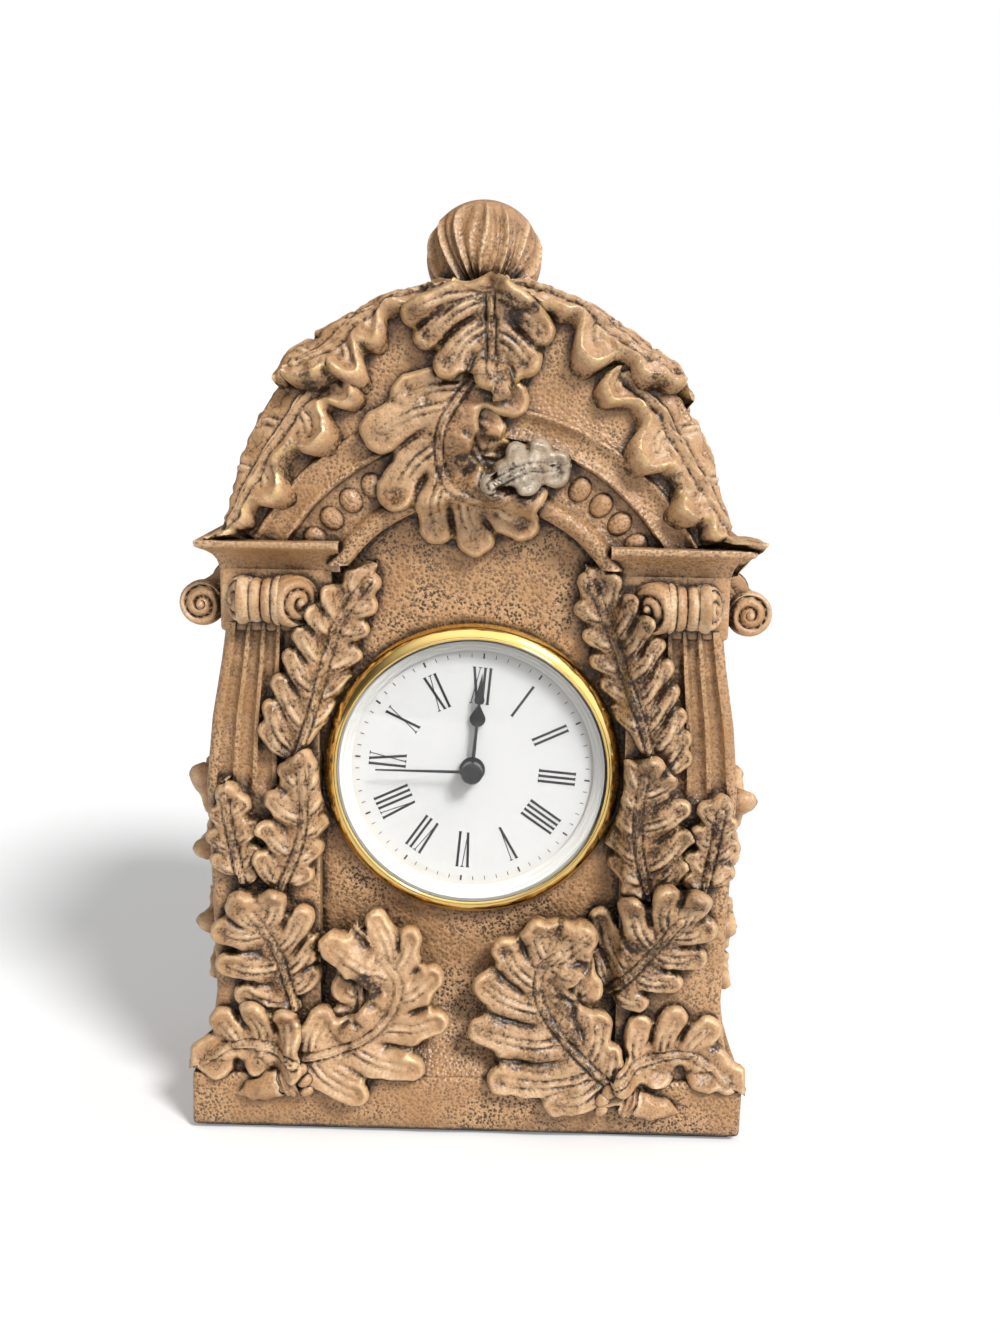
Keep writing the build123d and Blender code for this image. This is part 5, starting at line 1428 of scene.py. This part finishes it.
# name, colour, roughness, variation, scale of the grain, its relief, metal
solidLooks = {
    "dial": ("dialCard", (0.78, 0.78, 0.767), 0.55, 0.015, 900.0, 0.03, 0.0),
    "insert_cup": ("blackMoulding", (0.022, 0.022, 0.024), 0.45, 0.3, 800.0, 0.15, 0.0),
    "grip_band": ("gripRubber", (0.02, 0.02, 0.02), 0.8, 0.3, 700.0, 0.3, 0.0),
    "movement_housing": ("greyMoulding", (0.25, 0.26, 0.27), 0.5, 0.1, 600.0, 0.1, 0.0),
    "rotor": ("trainPlastic", (0.78, 0.75, 0.66), 0.35, 0.06, 500.0, 0.05, 0.0),
    "circuit_board": ("boardMask", (0.03, 0.17, 0.08), 0.35, 0.25, 900.0, 0.1, 0.0),
    "quartz_crystal": ("brightSteel", (0.62, 0.62, 0.60), 0.25, 0.08, 700.0, 0.05, 1.0),
    "coil_winding": ("copperWire", (0.70, 0.30, 0.13), 0.3, 0.2, 2500.0, 0.5, 1.0),
    "contact_plus": ("springBrass", (0.80, 0.60, 0.27), 0.25, 0.08, 600.0, 0.05, 1.0),
    "setting_knob": ("whiteMoulding", (0.78, 0.78, 0.75), 0.4, 0.05, 600.0, 0.08, 0.0),
}
# solids with the same finish
alike = {
    "insert_cup": ("timing_chip", "battery_hatch"),
    "movement_housing": ("movement_back",),
    "rotor": ("intermediate_wheel", "seconds_wheel", "third_wheel", "centre_wheel",
              "minute_pipe", "motion_wheel", "hour_wheel"),
    "quartz_crystal": ("stator", "battery_cell", "back_screws"),
    "contact_plus": ("contact_minus",),
    "setting_knob": ("coil_bobbin",),
    "hour_hand": ("minute_hand", "second_hand"),
}
finishes = {node: surfaceMaterial(*look) for node, look in solidLooks.items()}
finishes["hour_hand"] = blackGloss
painted = [(node, finish) for lead, finish in finishes.items() for node in (lead, *alike.get(lead, ()))]
for node, finish in painted:
    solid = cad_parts[node]
    solid.data.materials.clear()
    solid.data.materials.append(finish)
print("solids painted:", len(painted))

# studio: pale floor, soft key from the right, white surround

studio = {
    "floor": (0.93, 0.93, 0.93, 1), "floorRough": 0.9, "floorLift": 0.22,
    "floorCorners": ((-6, -3, 0), (6, -3, 0), (6, 6, 0), (-6, 6, 0)),
    "keyAim": (-0.55, 0.70, -0.82), "keyStrength": 2.75, "keyAngle": 14.0, "white": (1, 1, 1, 1),
    "surround": 0.28, "gloss": (0.1, 1.5), "glossFade": (0.1, 0.75), "glossAim": (0.55, -0.35, 0.75),
}


def addFloor():
    k = studio
    material, tree, shader = newMaterial("studioFloor")
    # lifted to white for the camera, so that only the shadow shows
    path = addNode(tree, "ShaderNodeLightPath")
    lift = mathNode(tree, "MULTIPLY", path.outputs["Is Camera Ray"], k["floorLift"])
    feed(tree, shader, Base_Color=k["floor"], Roughness=k["floorRough"])
    feed(tree, shader, Emission_Color=k["white"], Emission_Strength=lift)
    mesh = bpy.data.meshes.new("studioFloor")
    mesh.from_pydata(k["floorCorners"], [], [(0, 1, 2, 3)])
    mesh.materials.append(material)
    floor = bpy.data.objects.new("studioFloor", mesh)
    bpy.context.scene.collection.objects.link(floor)


def addKey():
    key = bpy.data.lights.new("keySun", "SUN")
    key.energy = studio["keyStrength"]
    key.angle = math.radians(studio["keyAngle"])
    lamp = bpy.data.objects.new("keySun", key)
    lamp.rotation_euler = Vector(studio["keyAim"]).to_track_quat("-Z", "Y").to_euler()
    bpy.context.scene.collection.objects.link(lamp)


def addSurround():
    k = studio
    world = bpy.data.worlds.new("studioWorld")
    bpy.context.scene.world = world
    world.use_nodes = True
    tree = world.node_tree
    path = addNode(tree, "ShaderNodeLightPath")
    # white where it is seen, also through the lens, and dimmer as light
    seen = mathNode(tree, "MAXIMUM", path.outputs["Is Camera Ray"], path.outputs["Is Transmission Ray"])
    strength = rampNode(tree, seen, 0.0, 1.0, k["surround"], 1.0)
    # reflections see a dark side low on the left
    facing = addNode(tree, "ShaderNodeVectorMath", operation="DOT_PRODUCT")
    plug(tree, facing.inputs[0], addNode(tree, "ShaderNodeTexCoord").outputs["Generated"])
    plug(tree, facing.inputs[1], Vector(k["glossAim"]).normalized())
    shade = rampNode(tree, facing.outputs["Value"], *k["glossFade"], *k["gloss"])
    chosen = mixNode(tree, path.outputs["Is Glossy Ray"], strength, shade, "FLOAT")
    feed(tree, tree.nodes["Background"], Color=k["white"], Strength=chosen)


addFloor()
addKey()
addSurround()
bpy.context.scene.view_settings.view_transform = "Standard"
print("studio made")
